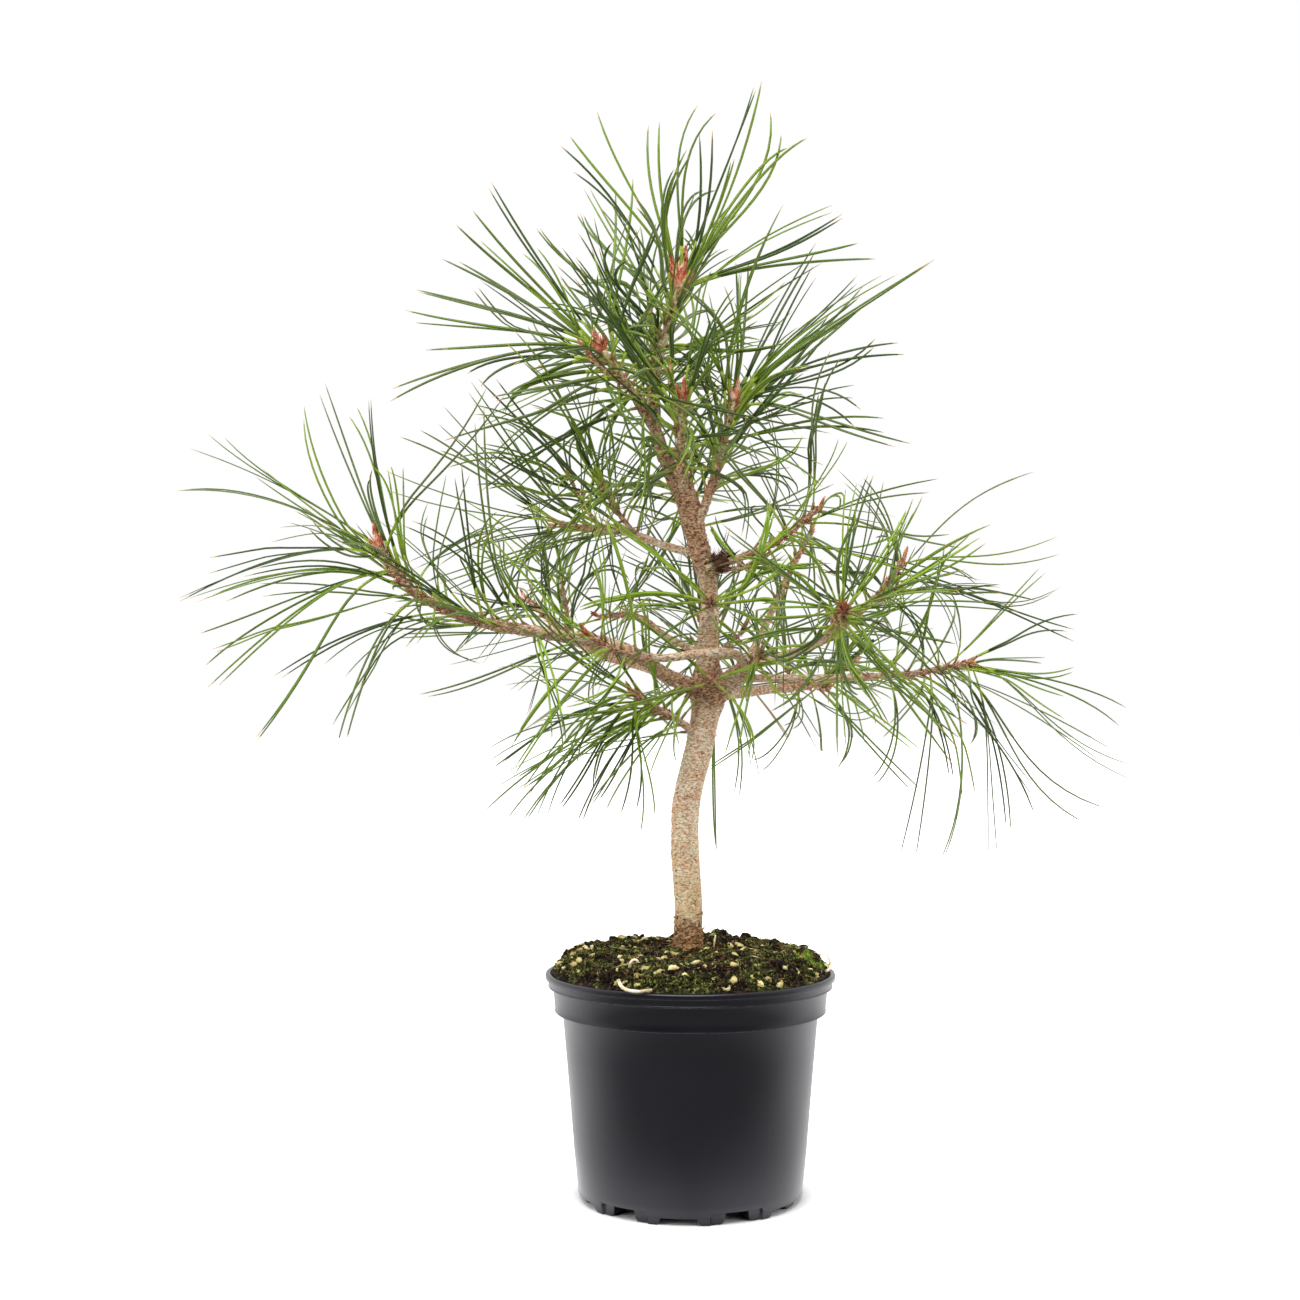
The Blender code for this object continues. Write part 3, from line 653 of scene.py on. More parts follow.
def bark_skin(route, radii, sides, youth, seed):
    """Points of a limb, lifted by level scales where it is old and by leaf bases where it is young."""
    _, across, third = rings_round(route)
    turn = 2 * np.pi * np.arange(sides) / sides
    out = sideways(across[:, None], third[:, None], turn)
    run = np.r_[0, np.cumsum(np.linalg.norm(np.diff(route, axis=0), axis=1))]
    flat = out * radii[:, None, None]
    spot = route[:, None] + flat
    level = spot * np.array([1.0, 1.0, 2.6])
    lift = 0.00028 * bumps(spot, 0.011, seed) * (radii[:, None] / 0.009)
    lift += np.maximum(0, 1 - youth)[:, None] * 0.00026 * ridges(level, 0.0032, seed + 1) ** 2
    row = run[:, None] / LEAF_BASE
    around = np.maximum(4, np.round(2 * np.pi * radii[:, None] / LEAF_BASE))
    column = turn[None, :] / (2 * np.pi) * around
    diamond = np.abs(np.sin(np.pi * (row + column / 2))) * np.abs(np.sin(np.pi * (row - column / 2)))
    scaly = np.clip(1 - np.abs(youth - 1), 0, 1)[:, None]
    lift += scaly * (0.0007 * (diamond - 0.35) * (radii[:, None] / 0.004) ** 0.5)
    lift += scaly * 0.0005 * bumps(spot, 0.0026, seed + 2) * np.maximum(1, radii / 0.005)[:, None]
    points = spot + out * lift[:, :, None]
    ends = np.stack([route[0], route[-1]])
    return np.concatenate([points.reshape(-1, 3), ends])


def youth_of(route):
    """The bark's age along the trunk: dark foot, smooth lower trunk, scaly whorls, pale last shoot."""
    height = (route[:, 2] - AXIS[2]) / MM
    # heights in mm, and the age at each
    steps = (163, 170, 184, 316, 326, 344, 358, 400, 425, 530, 552)
    return np.interp(height, steps, (1.0, 0.85, 0.08, 0.0, 0.85, 0.8, 0.1, 0.3, 1.0, 1.1, 2.0))


def add_youth(item, youth):
    attribute = item.data.attributes.new("youth", "FLOAT", "POINT")
    attribute.data.foreach_set("value", np.asarray(youth, np.float32))


print(len(trunk_route), "rows of relief along the trunk")


# %% [markdown]
# ### Trunk
# The trunk is one tube from the soil to the topmost bud, with its radius read along the route. Where a whorl
# of boughs leaves it, the bark is rough and darker in blotches, so noise varies its age there.

# %% Trunk
TRUNK_SIDES = 88
radii = trunk_radii(trunk_route)
youth = youth_of(trunk_route)
skin = bark_skin(trunk_route, radii, TRUNK_SIDES, youth, SEED)
faces = tube_faces(len(trunk_route), TRUNK_SIDES)
trunk = mesh_object("trunk_bark", skin, faces, [BARK])
youth = np.concatenate([np.repeat(youth, TRUNK_SIDES), youth[[0, -1]]])
blotches = 1.2 + 0.9 * bumps(skin * np.array([1.0, 1.0, 0.6]), 0.005, SEED + 5)
add_youth(trunk, np.clip(youth * blotches, 0, np.maximum(1, youth)))
finish_piece(trunk, "bark", "trunk")

# %% [markdown]
# ## Side twigs
# Behind and above, the boughs fork again. A seeded rule deals each fork its place on the bough, its turn and
# its length; the twig leaves at about forty-five degrees and bends up to the light, as every pine shoot does.

# %% Grow the side twigs
TWIG_COUNTS = {
    "back_right_bough": 3,
    "back_left_bough": 1,
    "back_low_bough": 3,
    "back_upper_bough": 2,
    "upper_back_bough": 2,
    "right_long_bough": 1,
    "left_mid_bough": 1,
    "upper_left_bough": 1,
    "upper_right_bough": 1,
    "centre_front_bough": 1,
}
TWIG_RADII = (1.5, 1.1)
LIMB_STEP_MM = 1.1
rng = np.random.default_rng(SEED)
routes = {name: smooth_route(way, LIMB_STEP_MM) for name, (_, way) in LIMBS.items()}
limb_radii = {name: ends for name, (ends, _) in LIMBS.items()}
limb_radii["left_front_bough"] = (3.2, 1.8)


def twig_route(route, share, rng):
    along, across, third = rings_round(route)
    index = int(share * (len(route) - 1))
    turn = rng.uniform(0, 2 * np.pi)
    side = math.cos(turn) * across[index] + math.sin(turn) * third[index]
    way = along[index] + side * rng.uniform(0.8, 1.2) + np.array([0, 0, 0.3])
    way /= np.linalg.norm(way)
    length = rng.uniform(0.018, 0.036)
    steps = np.linspace(0, 1, round(length / (LIMB_STEP_MM * MM)))[:, None]
    return route[index] + way * length * steps + np.array([0, 0, 0.35]) * length * steps**2


twigs = []
for name, number in TWIG_COUNTS.items():
    for share in np.linspace(0.5, 0.86, number + 2)[1:-1] + rng.normal(0, 0.04, number):
        twigs.append(f"{name}_twig_{len(twigs)}")
        routes[twigs[-1]] = twig_route(routes[name], share, rng)
        limb_radii[twigs[-1]] = TWIG_RADII
print(len(twigs), "side twigs")

# %% [markdown]
# The old cut on the right of the trunk, dark with resin, is where a bough was pruned. A dead twig with a
# short green tuft grows out under it, and two short twigs grow at the lowest whorl. Each is a way of three or
# four places, made smooth as the boughs' ways are.

# %% Old cut and dead twig
SMALL_WAYS = {
    "old_cut": ((12, -2, 411), (19, -6, 414), (25, -9, 416)),
    "dead_twig": ((20, -7, 412), (30, -13, 410), (40, -18, 413), (47, -21, 417)),
    "left_low_twig": ((6, -6, 331), (-1, -15, 332), (-8, -22, 334)),
    "whorl_twig": ((12, -7, 334), (13, -15, 336), (13, -23, 339)),
}
for name, way in SMALL_WAYS.items():
    routes[name] = smooth_route(way, LIMB_STEP_MM)
limb_radii["old_cut"] = (6.2, 4.8)
limb_radii["dead_twig"] = (1.3, 0.9)
limb_radii["left_low_twig"] = (1.5, 1.2)
limb_radii["whorl_twig"] = (1.7, 1.3)
print(len(routes), "routes in all")

# %% [markdown]
# ### Boughs
# All boughs and twigs share one mesh, because they share a finish. A curve with a bevel would be quicker to
# write, but the bark's relief has to be lifted point by point. So each is a tube like the trunk, with its
# end rounded.

# %% Boughs
LIMB_SIDES = 26
# age of the bark at even steps from the root to a little before the bud
LIMB_AGES = {
    "left_front_bough": (0.0, 0.1, 1.0),
    "left_long_bough": (1.0, 0.35, 0.35, 0.95, 1.0),
    "right_knob": (0.8, 0.5, 0.8),
    "left_mid_bough": (0.1, 0.3, 0.9),
    "right_low_bough": (0.1, 0.2, 0.8),
    "right_long_bough": (0.1, 0.3, 0.9),
    "lower_left_bough": (0.1, 0.3, 0.8),
    "upper_left_bough": (0.3, 1.1, 2.0),
    "upper_right_bough": (0.3, 1.1, 2.0),
    "centre_front_bough": (0.3, 1.1, 2.0),
    "old_cut": (1.0, 3.0, 3.0),
    "dead_twig": (0.5, 0.3, 0.5),
}
all_points = []
all_faces = []
all_youth = []
count = 0
for number, (name, route) in enumerate(routes.items()):
    share = np.linspace(0, 1, len(route))
    first, last = limb_radii[name]
    radii = (first + (last - first) * share) * MM
    # the distance to the end, counted in radii, rounds the end off
    to_end = np.minimum(1, (1 - share) * len(route) * LIMB_STEP_MM * MM / radii)
    radii = radii * np.sqrt(np.maximum(0.05, 1 - (1 - to_end) ** 2))
    ages = LIMB_AGES.get(name, (0.12, 0.7, 1.0))
    youth = np.interp(share, np.linspace(0, 0.9, len(ages)), ages)
    points = bark_skin(route, radii, LIMB_SIDES, youth, SEED + 10 * number)
    all_points.append(points)
    all_faces.append(tube_faces(len(route), LIMB_SIDES, count))
    all_youth.append(np.concatenate([np.repeat(youth, LIMB_SIDES), youth[[0, -1]]]))
    count += len(points)
boughs = mesh_object("bough_bark", np.concatenate(all_points), np.concatenate(all_faces), [BARK])
add_youth(boughs, np.concatenate(all_youth))
finish_piece(boughs, "bark", *LIMBS)

# %% [markdown]
# ## Slivers
# A needle, a bud scale, a flake of bark and a root hair are all the same kind of body: slim, pointed, curved
# and a little flat. One set of equations bends thousands of them at once. Each starts in its first direction,
# runs along its main one and ends in its last one, and a few have a kink. The section is a flat triangle,
# rolled and twisted, so some show their broad face and others their edge.


# %% Sliver equations
def unit(vectors):
    return vectors / np.linalg.norm(vectors, axis=-1, keepdims=True)


def sliver_set(foot, first, main, last, length, width, kink=0.0, kink_at=0.5, roll=0.0, shade=0):
    """All values of a set of slivers, one row for each."""
    number = len(foot)
    fields = {"foot": foot, "first": first, "main": main, "last": last}
    fields["kink"] = np.broadcast_to(kink, (number, 3))
    values = {"length": length, "width": width, "kink_at": kink_at, "roll": roll, "shade": shade}
    fields.update({name: np.broadcast_to(value, number) for name, value in values.items()})
    return fields


def bud_way(route, upright):
    """Direction of the bud at a limb's end, which turns up by that share."""
    return unit(unit(route[-1] - route[-4]) + np.array([0, 0, upright]))


def joined(sets):
    return {name: np.concatenate([part[name] for part in sets]) for name in sets[0]}


def picked(slivers, rows):
    return {name: values[rows] for name, values in slivers.items()}


# share of the length over which a kink is rounded
SOFT = 0.10


def middle_line(slivers, share):
    """Places and directions along each sliver at those shares of its length."""
    share = share[None, :, None]
    first, main, last, kink = (slivers[name][:, None] for name in ("first", "main", "last", "kink"))
    after = np.maximum(0, share - slivers["kink_at"][:, None, None])
    way = main * share + (first - main) * (1 - (1 - share) ** 5) / 5 + (last - main) * share**3 / 3
    way = way + kink * after**2 / (after + SOFT)
    along = main + (first - main) * (1 - share) ** 4 + (last - main) * share**2
    along = along + kink * (after**2 + 2 * SOFT * after) / (after + SOFT) ** 2
    return slivers["foot"][:, None] + slivers["length"][:, None, None] * way, unit(along)


# share of the length, share of the full width
NEEDLE_TAPER = ((0, 0.75), (0.06, 0.95), (0.30, 1.0), (0.70, 0.95), (0.90, 0.74), (0.965, 0.48), (1.0, 0.12))
SCALE_TAPER = ((0, 0.80), (0.35, 1.0), (0.70, 0.70), (1.0, 0.06))
TWIST = 0.6


def sliver_mesh(slivers, start, end, rows, flat, taper, sides=3):
    """Points and faces of one stretch, from start to end, of every sliver."""
    share = np.linspace(start, end, rows)
    middle, along = middle_line(slivers, share)
    steady = unit(np.cross(slivers["main"], slivers["last"] + np.array([0.003, 0.002, 0.001])))
    broad = unit(steady[:, None] - along * np.einsum("ij,ikj->ik", steady, along)[..., None])
    thin = np.cross(along, broad)
    half = 0.5 * slivers["width"][:, None] * np.interp(share, *zip(*taper))
    points = []
    for turn in 2 * np.pi * np.arange(sides) / sides:
        angle = slivers["roll"][:, None] + TWIST * share[None, :]
        x, y = math.cos(turn), flat * math.sin(turn)
        right = (x * np.cos(angle) - y * np.sin(angle)) * half
        up = (x * np.sin(angle) + y * np.cos(angle)) * half
        points.append(middle + broad * right[..., None] + thin * up[..., None])
    points = np.stack(points, axis=2).reshape(len(middle), -1, 3)
    points = np.concatenate([points, middle[:, :1], middle[:, -1:]], axis=1)
    first = np.arange(len(points)) * points.shape[1]
    faces = tube_faces(rows, sides)[None] + first[:, None, None]
    return points.reshape(-1, 3), faces.reshape(-1, 3)


def sliver_piece(name, slot, finish, slivers, start, end, rows, flat, taper, nodes=(), youth=None):
    """One finished piece from a set of slivers. Youth, one value for each, is for pieces of bark."""
    points, faces = sliver_mesh(slivers, start, end, rows, flat, taper)
    item = mesh_object(name, points, faces, [finish])
    if youth is not None:
        add_youth(item, np.repeat(youth, len(points) // len(youth)))
    finish_piece(item, slot, *nodes)


# %% [markdown]
# ## Needles
# Needles sit in pairs in a sheath, and the pairs wind round the last stretch of each shoot. They leave the
# shoot at a narrow angle and arch away from it: near the bud they stay upright, further back they stand out
# and hang. A seeded rule deals each pair its place, direction, length and bend.

# %% Needle sprays
GOLDEN_TURN = math.pi * (3 - math.sqrt(5))
PAIR_SPREAD = 0.045
BASE_END = 0.22
TIP_START = 0.965

# limb: (share of the limb where needles start, pairs, length in mm, width in mm, angle at the bud,
# drift to the right and up where the needles start, the same at the bud, droop, light painted into its
# needles)
SPRAYS = {
    "trunk_tip": (0.86, 33, 108, 2.5, 32, (-0.2, 0.2), (-0.25, 0.1), 0.0, 0),
    "upper_left_bough": (0.25, 32, 112, 2.4, 56, (-0.05, -0.2), (0.1, 0.1), 0.0, 0),
    "centre_front_bough": (0.25, 32, 102, 2.3, 30, (0.2, -0.5), (0.0, -0.1), 0.12, 0),
    "upper_right_bough": (0.25, 31, 103, 2.3, 30, (0.1, 0.5), (0.2, 0.6), 0.05, 0),
    "upper_back_bough": (0.25, 20, 104, 2.3, 28, (0.0, 0.0), (0.0, 0.0), 0.10, -1),
    "left_mid_twig": (0.25, 18, 104, 2.0, 34, (-0.2, 0.1), (-0.2, 0.1), 0.10, 0),
    "left_mid_bough": (0.30, 30, 100, 2.0, 34, (-0.1, 0.0), (-0.3, -0.1), 0.12, 0),
    "right_upper_bough": (0.35, 18, 94, 1.9, 32, (0.0, -0.3), (0.0, -0.5), 0.10, 0),
    "back_upper_bough": (0.45, 20, 98, 2.1, 28, (0.0, 0.0), (0.0, 0.0), 0.15, -1),
    "back_high_bough": (0.45, 12, 80, 2.0, 28, (0.0, -0.4), (0.0, -0.4), 0.20, -1),
    "trunk_front_twig": (0.30, 16, 86, 2.5, 58, (0.0, 0.0), (0.0, 0.0), 0.15, 2),
    "left_long_bough": (0.38, 54, 102, 1.8, 40, (-0.1, 0.9), (-0.3, -0.2), 0.10, 0),
    "left_front_bough": (0.62, 12, 86, 2.1, 36, (-0.1, 0.3), (-0.1, 0.3), 0.15, 2),
    "left_back_bough": (0.40, 9, 86, 1.9, 32, (-0.1, 0.3), (-0.2, 0.3), 0.12, -1),
    "lower_left_bough": (0.10, 25, 92, 1.8, 36, (-0.3, 0.2), (-0.4, 0.0), 0.20, 1),
    "left_low_twig": (0.20, 10, 64, 2.1, 40, (-0.3, -0.5), (-0.3, -0.6), 0.20, 2),
    "whorl_twig": (0.35, 8, 72, 2.3, 66, (0.0, 0.0), (0.0, 0.0), 0.10, 1),
    "knob_twig": (0.30, 12, 62, 2.0, 36, (0.0, 0.0), (0.0, 0.0), 0.20, 2),
    "dead_twig": (0.45, 12, 42, 2.1, 34, (0.0, 0.0), (0.0, 0.0), 0.10, 2),
    "right_front_bough": (0.50, 46, 88, 2.0, 44, (0.0, 0.1), (0.0, 0.0), 0.12, 1),
    "right_long_bough": (0.45, 8, 76, 1.6, 40, (-0.2, -0.2), (-0.3, -0.3), 0.20, 0),
    "right_low_bough": (0.55, 26, 98, 1.6, 62, (0.0, 0.0), (-0.1, 0.1), 0.20, 0),
    "back_right_bough": (0.50, 18, 94, 1.8, 32, (0.1, 0.1), (0.1, 0.2), 0.12, -1),
    "back_left_bough": (0.45, 11, 90, 1.8, 32, (-0.1, 0.3), (-0.1, 0.3), 0.12, -1),
    "back_low_bough": (0.45, 21, 88, 1.7, 32, (0.0, 0.5), (0.0, 0.5), 0.02, -1),
}
TWIG_SPRAY = (0.15, 9, 84, 1.9, 32, (0.0, 0.1), (0.0, 0.1), 0.15, 0)
BASE_ANGLE = 92
# how light a spray is: 2 for a bright short twig, 1 for a young shoot in the light, 0 for the rest and
# -1 for one in the shade, each with the share of every shade. These shares paint light and shade into the
# needles: lit sprays get more pale greens and shaded ones more dark pairs, besides the paler green of young
# shoots.
SHADES_BY_PAINTED_LIGHT = {
    2: {"lime": 0.56, "fresh": 0.31, "mid": 0.11, "grey": 0.02, "dark": 0.0, "dry": 0.0},
    1: {"lime": 0.12, "fresh": 0.34, "mid": 0.32, "grey": 0.13, "dark": 0.09, "dry": 0.0},
    0: {"lime": 0.03, "fresh": 0.205, "mid": 0.36, "grey": 0.24, "dark": 0.165, "dry": 0.0},
    -1: {"lime": 0.0, "fresh": 0.125, "mid": 0.34, "grey": 0.26, "dark": 0.26, "dry": 0.015},
}
SHADE_NAMES = tuple(SHADES_BY_PAINTED_LIGHT[0])
print(sum(sizes[1] for sizes in SPRAYS.values()), "pairs in", len(SPRAYS), "sprays")


def twins(pair, rng):
    """Two needles for each pair: the second one leaves the first by a few degrees."""
    number = len(pair["foot"])
    apart = unit(np.cross(pair["main"], rng.normal(0, 1, (number, 3))))
    apart *= rng.normal(PAIR_SPREAD, 0.02, number)[:, None]
    other = dict(pair)
    other["main"] = pair["main"] - apart
    other["last"] = pair["last"] - apart + rng.normal(0, 0.09, (number, 3))
    other["length"] = pair["length"] * rng.uniform(0.92, 1.02, number)
    other["roll"] = pair["roll"] + np.pi
    first = dict(pair)
    first["main"] = pair["main"] + apart
    first["last"] = pair["last"] + apart
    return joined([first, other])


def held(vectors, most):
    """The same vectors, none of them longer than most."""
    return vectors * np.minimum(1, most / np.linalg.norm(vectors, axis=1, keepdims=True))


def spray_needles(route, radius, sizes, rng):
    start, pairs, length_mm, width_mm, tip_angle, first_drift, last_drift, droop, light = sizes
    along, across, third = rings_round(route)
    order = np.arange(pairs)
    outward = ((order + rng.random(pairs)) / pairs) ** 0.8
    index = ((start + (1 - start) * outward) * (len(route) - 1)).astype(int)
    turn = order * GOLDEN_TURN + rng.normal(0, 0.5, pairs)
    angle = np.radians(BASE_ANGLE + (tip_angle - BASE_ANGLE) * outward**1.2 + rng.normal(0, 24, pairs))
    side = sideways(across[index], third[index], turn)
    forward = along[index]
    main = np.cos(angle)[:, None] * forward + np.sin(angle)[:, None] * side
    strength = rng.uniform(0.3, 1.7, pairs)
    for axis, (near, far) in zip((0, 2), zip(first_drift, last_drift)):
        main[:, axis] += strength * (near + (far - near) * outward)
    main = unit(main)
    first = unit(main + forward * rng.uniform(0.2, 0.8, (pairs, 1)))
    last = main + held(rng.normal(0, 0.64, (pairs, 3)), 1.25)
    last[:, 2] -= droop * (0.4 + np.hypot(main[:, 0], main[:, 1])) * rng.uniform(0, 2.2, pairs)
    kinked = rng.random(pairs) < 0.55 + 0.7 * max(0.0, droop)
    pair = sliver_set(
        foot=route[index] + side * radius * MM,
        first=first,
        main=main,
        last=last,
        length=length_mm * MM * rng.triangular(0.68, 0.98, 1.08, pairs),
        width=width_mm * MM * rng.uniform(0.85, 1.1, pairs),
        kink=held(rng.normal(0, 0.36, (pairs, 3)), 0.6) * kinked[:, None],
        kink_at=rng.uniform(0.2, 0.75, pairs),
        roll=rng.uniform(0, 2 * np.pi, pairs),
        # the spray's painted light and shade picks the share of each needle colour
        shade=rng.choice(len(SHADE_NAMES), pairs, p=list(SHADES_BY_PAINTED_LIGHT[light].values())),
    )
    return twins(pair, rng)


# %% [markdown]
# A crown is known by its longest needles. Their tips are measured in the photo, and those at the back, which
# no photo shows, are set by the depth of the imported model. Each tip gets a pair that starts on the nearest
# shoot, takes its own chance bend and still ends there.

# %% Longest needles
LONGEST_MM = {
    "trunk_tip": (
        (41, 0, 731), (9, 0, 718), (56, 0, 709), (-22, 0, 706), (-72, 0, 703), (-84, 0, 688),
        (72, 0, 698), (100, 0, 644), (122, 0, 619),
    ),
    "upper_left_bough": (
        (-129, -26, 658), (-137, -26, 620), (-160, -26, 609), (-177, -26, 589), (-179, -26, 569),
        (-171, -26, 552), (-194, -20, 518),
    ),
    "upper_right_bough": (
        (112, -20, 584), (119, -20, 557), (137, -20, 553), (124, -20, 504), (140, -20, 489),
        (108, -20, 600), (96, -20, 570),
    ),
    "left_mid_bough": ((-197, 50, 509), (-205, 50, 474), (-172, 48, 520), (-160, 45, 500)),
    "right_long_bough": (
        (226, -10, 474), (243, -10, 426), (238, -10, 397), (252, -10, 372),
    ),
    "right_low_bough": (
        (244, -40, 346), (276, -40, 316), (286, -40, 275), (256, -40, 248), (220, -40, 251),
        (201, -40, 239), (190, -40, 223), (160, -40, 223), (116, -20, 270),
    ),
    "lower_left_bough": (
        (-129, -40, 289), (-121, -40, 253), (-109, -40, 249), (-98, -40, 247), (-86, -40, 256),
        (-73, -40, 247), (-61, -40, 262), (-41, -40, 252), (-30, -36, 240),
    ),
    "left_long_bough": (
        (-216, -80, 297), (-271, -80, 298), (-298, -80, 333), (-302, -80, 351), (-322, -80, 384),
        (-322, -80, 457), (-299, -80, 491), (-269, -80, 466), (-227, -80, 517), (-208, -80, 506),
    ),
    "back_low_bough": ((16, 30, 222), (46, 30, 273), (32, 30, 258)),
    "back_low_bough_twig_6": ((30, 254, 398), (4, 243, 362), (56, 236, 340), (16, 228, 424)),
    "back_left_bough": ((-128, 232, 412), (-140, 214, 372), (-112, 218, 446)),
    "back_right_bough": ((128, 222, 378), (150, 204, 344), (110, 214, 322)),
    "back_upper_bough": ((6, 210, 512), (-14, 204, 474), (20, 196, 540)),
}
LONGEST_NEEDLE = 0.140
print(sum(len(tips) for tips in LONGEST_MM.values()), "longest needles")


def longest_needles(route, tips_mm, width_mm, rng):
    tips = place(tips_mm)
    number = len(tips)
    along, _, _ = rings_round(route)
    index = np.full(number, len(route) - 3)
    for row, tip in enumerate(tips):
        near = np.flatnonzero(np.linalg.norm(route - tip, axis=1) < LONGEST_NEEDLE)
        if len(near):
            index[row] = rng.choice(near[near >= near[-1] - len(near) // 2])
    foot = route[index]
    reach = np.linalg.norm(tips - foot, axis=1)
    straight = (tips - foot) / reach[:, None] / 1.05
    first = unit(straight + along[index] * rng.uniform(0.2, 0.9, (number, 1)))
    extra = rng.normal(0, 0.40, (number, 3))
    main = (straight - first / 5 - extra / 3) / 0.8
    pair = sliver_set(
        foot=foot,
        first=first,
        main=main,
        last=main + extra,
        length=reach * 1.05,
        width=width_mm * MM,
        roll=rng.uniform(0, 2 * np.pi, number),
        shade=rng.integers(1, 5, number),
    )
    return twins(pair, rng)


# %% [markdown]
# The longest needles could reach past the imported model's box. Those that do are shortened little by little,
# which keeps their curve and the size of the plant.

# %% Keep the tips inside the outline
def kept_inside(slivers):
    """Shortens each needle until all of it lies inside the plant's own outline."""
    length = slivers["length"].copy()
    share = np.array([0.5, 0.75, 0.9, 1.0])
    for _ in range(40):
        line, _ = middle_line({**slivers, "length": length}, share)
        out = ((line < BOX_LOW + 0.001) | (line > BOX_HIGH - 0.001)).any(axis=(1, 2))
        if not out.any():
            break
        length = np.where(out, length * 0.97, length)
    return {**slivers, "length": length}


print("room for the tips", BOX_LOW.round(3), BOX_HIGH.round(3))


# %% [markdown]
# The photo shows the buds, the lower trunk and the bough that crosses before it almost free of needles. Each
# needle of a spray that would pass before one of those spots, as seen from the front, is left out.

# %% Keep buds and trunk bare
CAMERA_SIDE, CAMERA_DISTANCE, CAMERA_HEIGHT = -0.0264, 1.283, 0.343
EYE = AXIS + (CAMERA_SIDE, -CAMERA_DISTANCE, CAMERA_HEIGHT)
# limb: length of its bud in metres
BARE_BUDS = {
    "trunk_tip": 0.024,
    "upper_left_bough": 0.012,
    "left_long_bough": 0.018,
    "centre_front_bough": 0.012,
    "upper_right_bough": 0.012,
    "right_front_bough": 0.010,
    "right_long_bough": 0.014,
    "right_low_bough": 0.010,
    "right_upper_bough": 0.010,
    "left_mid_bough": 0.010,
}


def bare_spots():
    """Places that stay in sight, each with the radius round it that is kept free."""
    spots = []
    for name, length in BARE_BUDS.items():
        route = routes[name]
        forward = bud_way(route, 0.5)
        spots += [(route[-1] + forward * length * share, 0.0038) for share in (0.3, 0.6, 0.9)]
    spots += [(spot, 0.010) for spot in trunk_route[trunk_route[:, 2] < AXIS[2] + 0.296][::10]]
    upper = (trunk_route[:, 2] > AXIS[2] + 0.415) & (trunk_route[:, 2] < AXIS[2] + 0.460)
    spots += [(spot, 0.004) for spot in trunk_route[upper][::20]]
    spots += [(spot, 0.003) for spot in routes["left_front_bough"][5:75:4]]
    spots += [(spot, 0.005) for spot in routes["old_cut"][::4]]
    return spots


def over_a_bare_spot(slivers):
    line, _ = middle_line(slivers, np.linspace(0.05, 1, 40))
    hiding = np.zeros(len(line), bool)
    for spot, radius in bare_spots():
        sight = unit(EYE - spot)
        before = (line - spot) @ sight
        beside = np.linalg.norm(line - spot - before[..., None] * sight, axis=-1)
        hiding |= ((before > 0) & (beside < radius)).any(axis=1)
    return hiding


print(len(BARE_BUDS), "buds kept bare")


# %% [markdown]
# Each limb draws its needles from a seed of its own, so a change to one spray leaves the others as they are.
# The needles are joined by shade into a few large meshes. Their bases and tips are meshes of their own,
# because a plain colour belongs to a whole mesh.

# %% Grow every spray
routes["trunk_tip"] = trunk_route
limb_radii["trunk_tip"] = (9.0, 2.5)
sprays = {**SPRAYS, **{name: TWIG_SPRAY for name in twigs}}
grown = []
longest = []
for order, (name, sizes) in enumerate(sprays.items()):
    chance = np.random.default_rng((SEED, order))
    grown.append(spray_needles(routes[name], limb_radii[name][1], sizes, chance))
    if name in LONGEST_MM:
        longest.append(longest_needles(routes[name], LONGEST_MM[name], sizes[3], chance))
grown = joined(grown)
hiding = over_a_bare_spot(grown)
print(hiding.sum(), "of", len(hiding), "needles left out before bare spots")
needles = kept_inside(joined([picked(grown, ~hiding)] + longest))
MASSES = [name for name in frame["nodes"] if name.startswith("needles")]
for number, name in enumerate(SHADE_NAMES):
    own = picked(needles, needles["shade"] == number)
    sliver_piece("needle_pairs_" + name, "needles", NEEDLES[name], own,
                 BASE_END, TIP_START, 11, 0.6, NEEDLE_TAPER, MASSES)
sliver_piece("needle_bases", "needles", NEEDLES["base"], needles, 0.0, BASE_END, 5, 0.6, NEEDLE_TAPER)
sliver_piece("needle_tips", "needles", NEEDLES["tip"], needles, TIP_START, 1.0, 2, 0.6, NEEDLE_TAPER)
print(len(needles["foot"]), "needles")

# %% [markdown]
# Each pair comes out of a thin brown sheath. Between the pairs the shoot keeps the dry scale leaves that
# once covered it, and they give young pine shoots their rough outline.

# %% Sheaths
SHEATH_LENGTH = 0.0055
sheaths = {**needles, "width": needles["width"] * 1.45}
sheaths["length"] = np.full(len(needles["foot"]), SHEATH_LENGTH)
sheaths["main"] = sheaths["last"] = sheaths["first"]
sheaths["kink"] = sheaths["kink"] * 0
sliver_piece("needle_sheaths", "needles", NEEDLES["sheath"], sheaths, 0.0, 1.0, 3, 0.8, ((0, 0.9), (1, 0.7)))

# %% [markdown]
# The scale leaves wind round the shoot in the same order as the pairs. They are slivers too, short and broad
# and laid against the shoot. Longer ones stand round the old cut, as what is left of its dead bark.

# %% Scale leaves on the shoots
SCALE_LEAF_STEP_MM = 1.4
CUT_SCALE_ROUNDS = 12
CUT_SCALE_GROWTH = 1.7


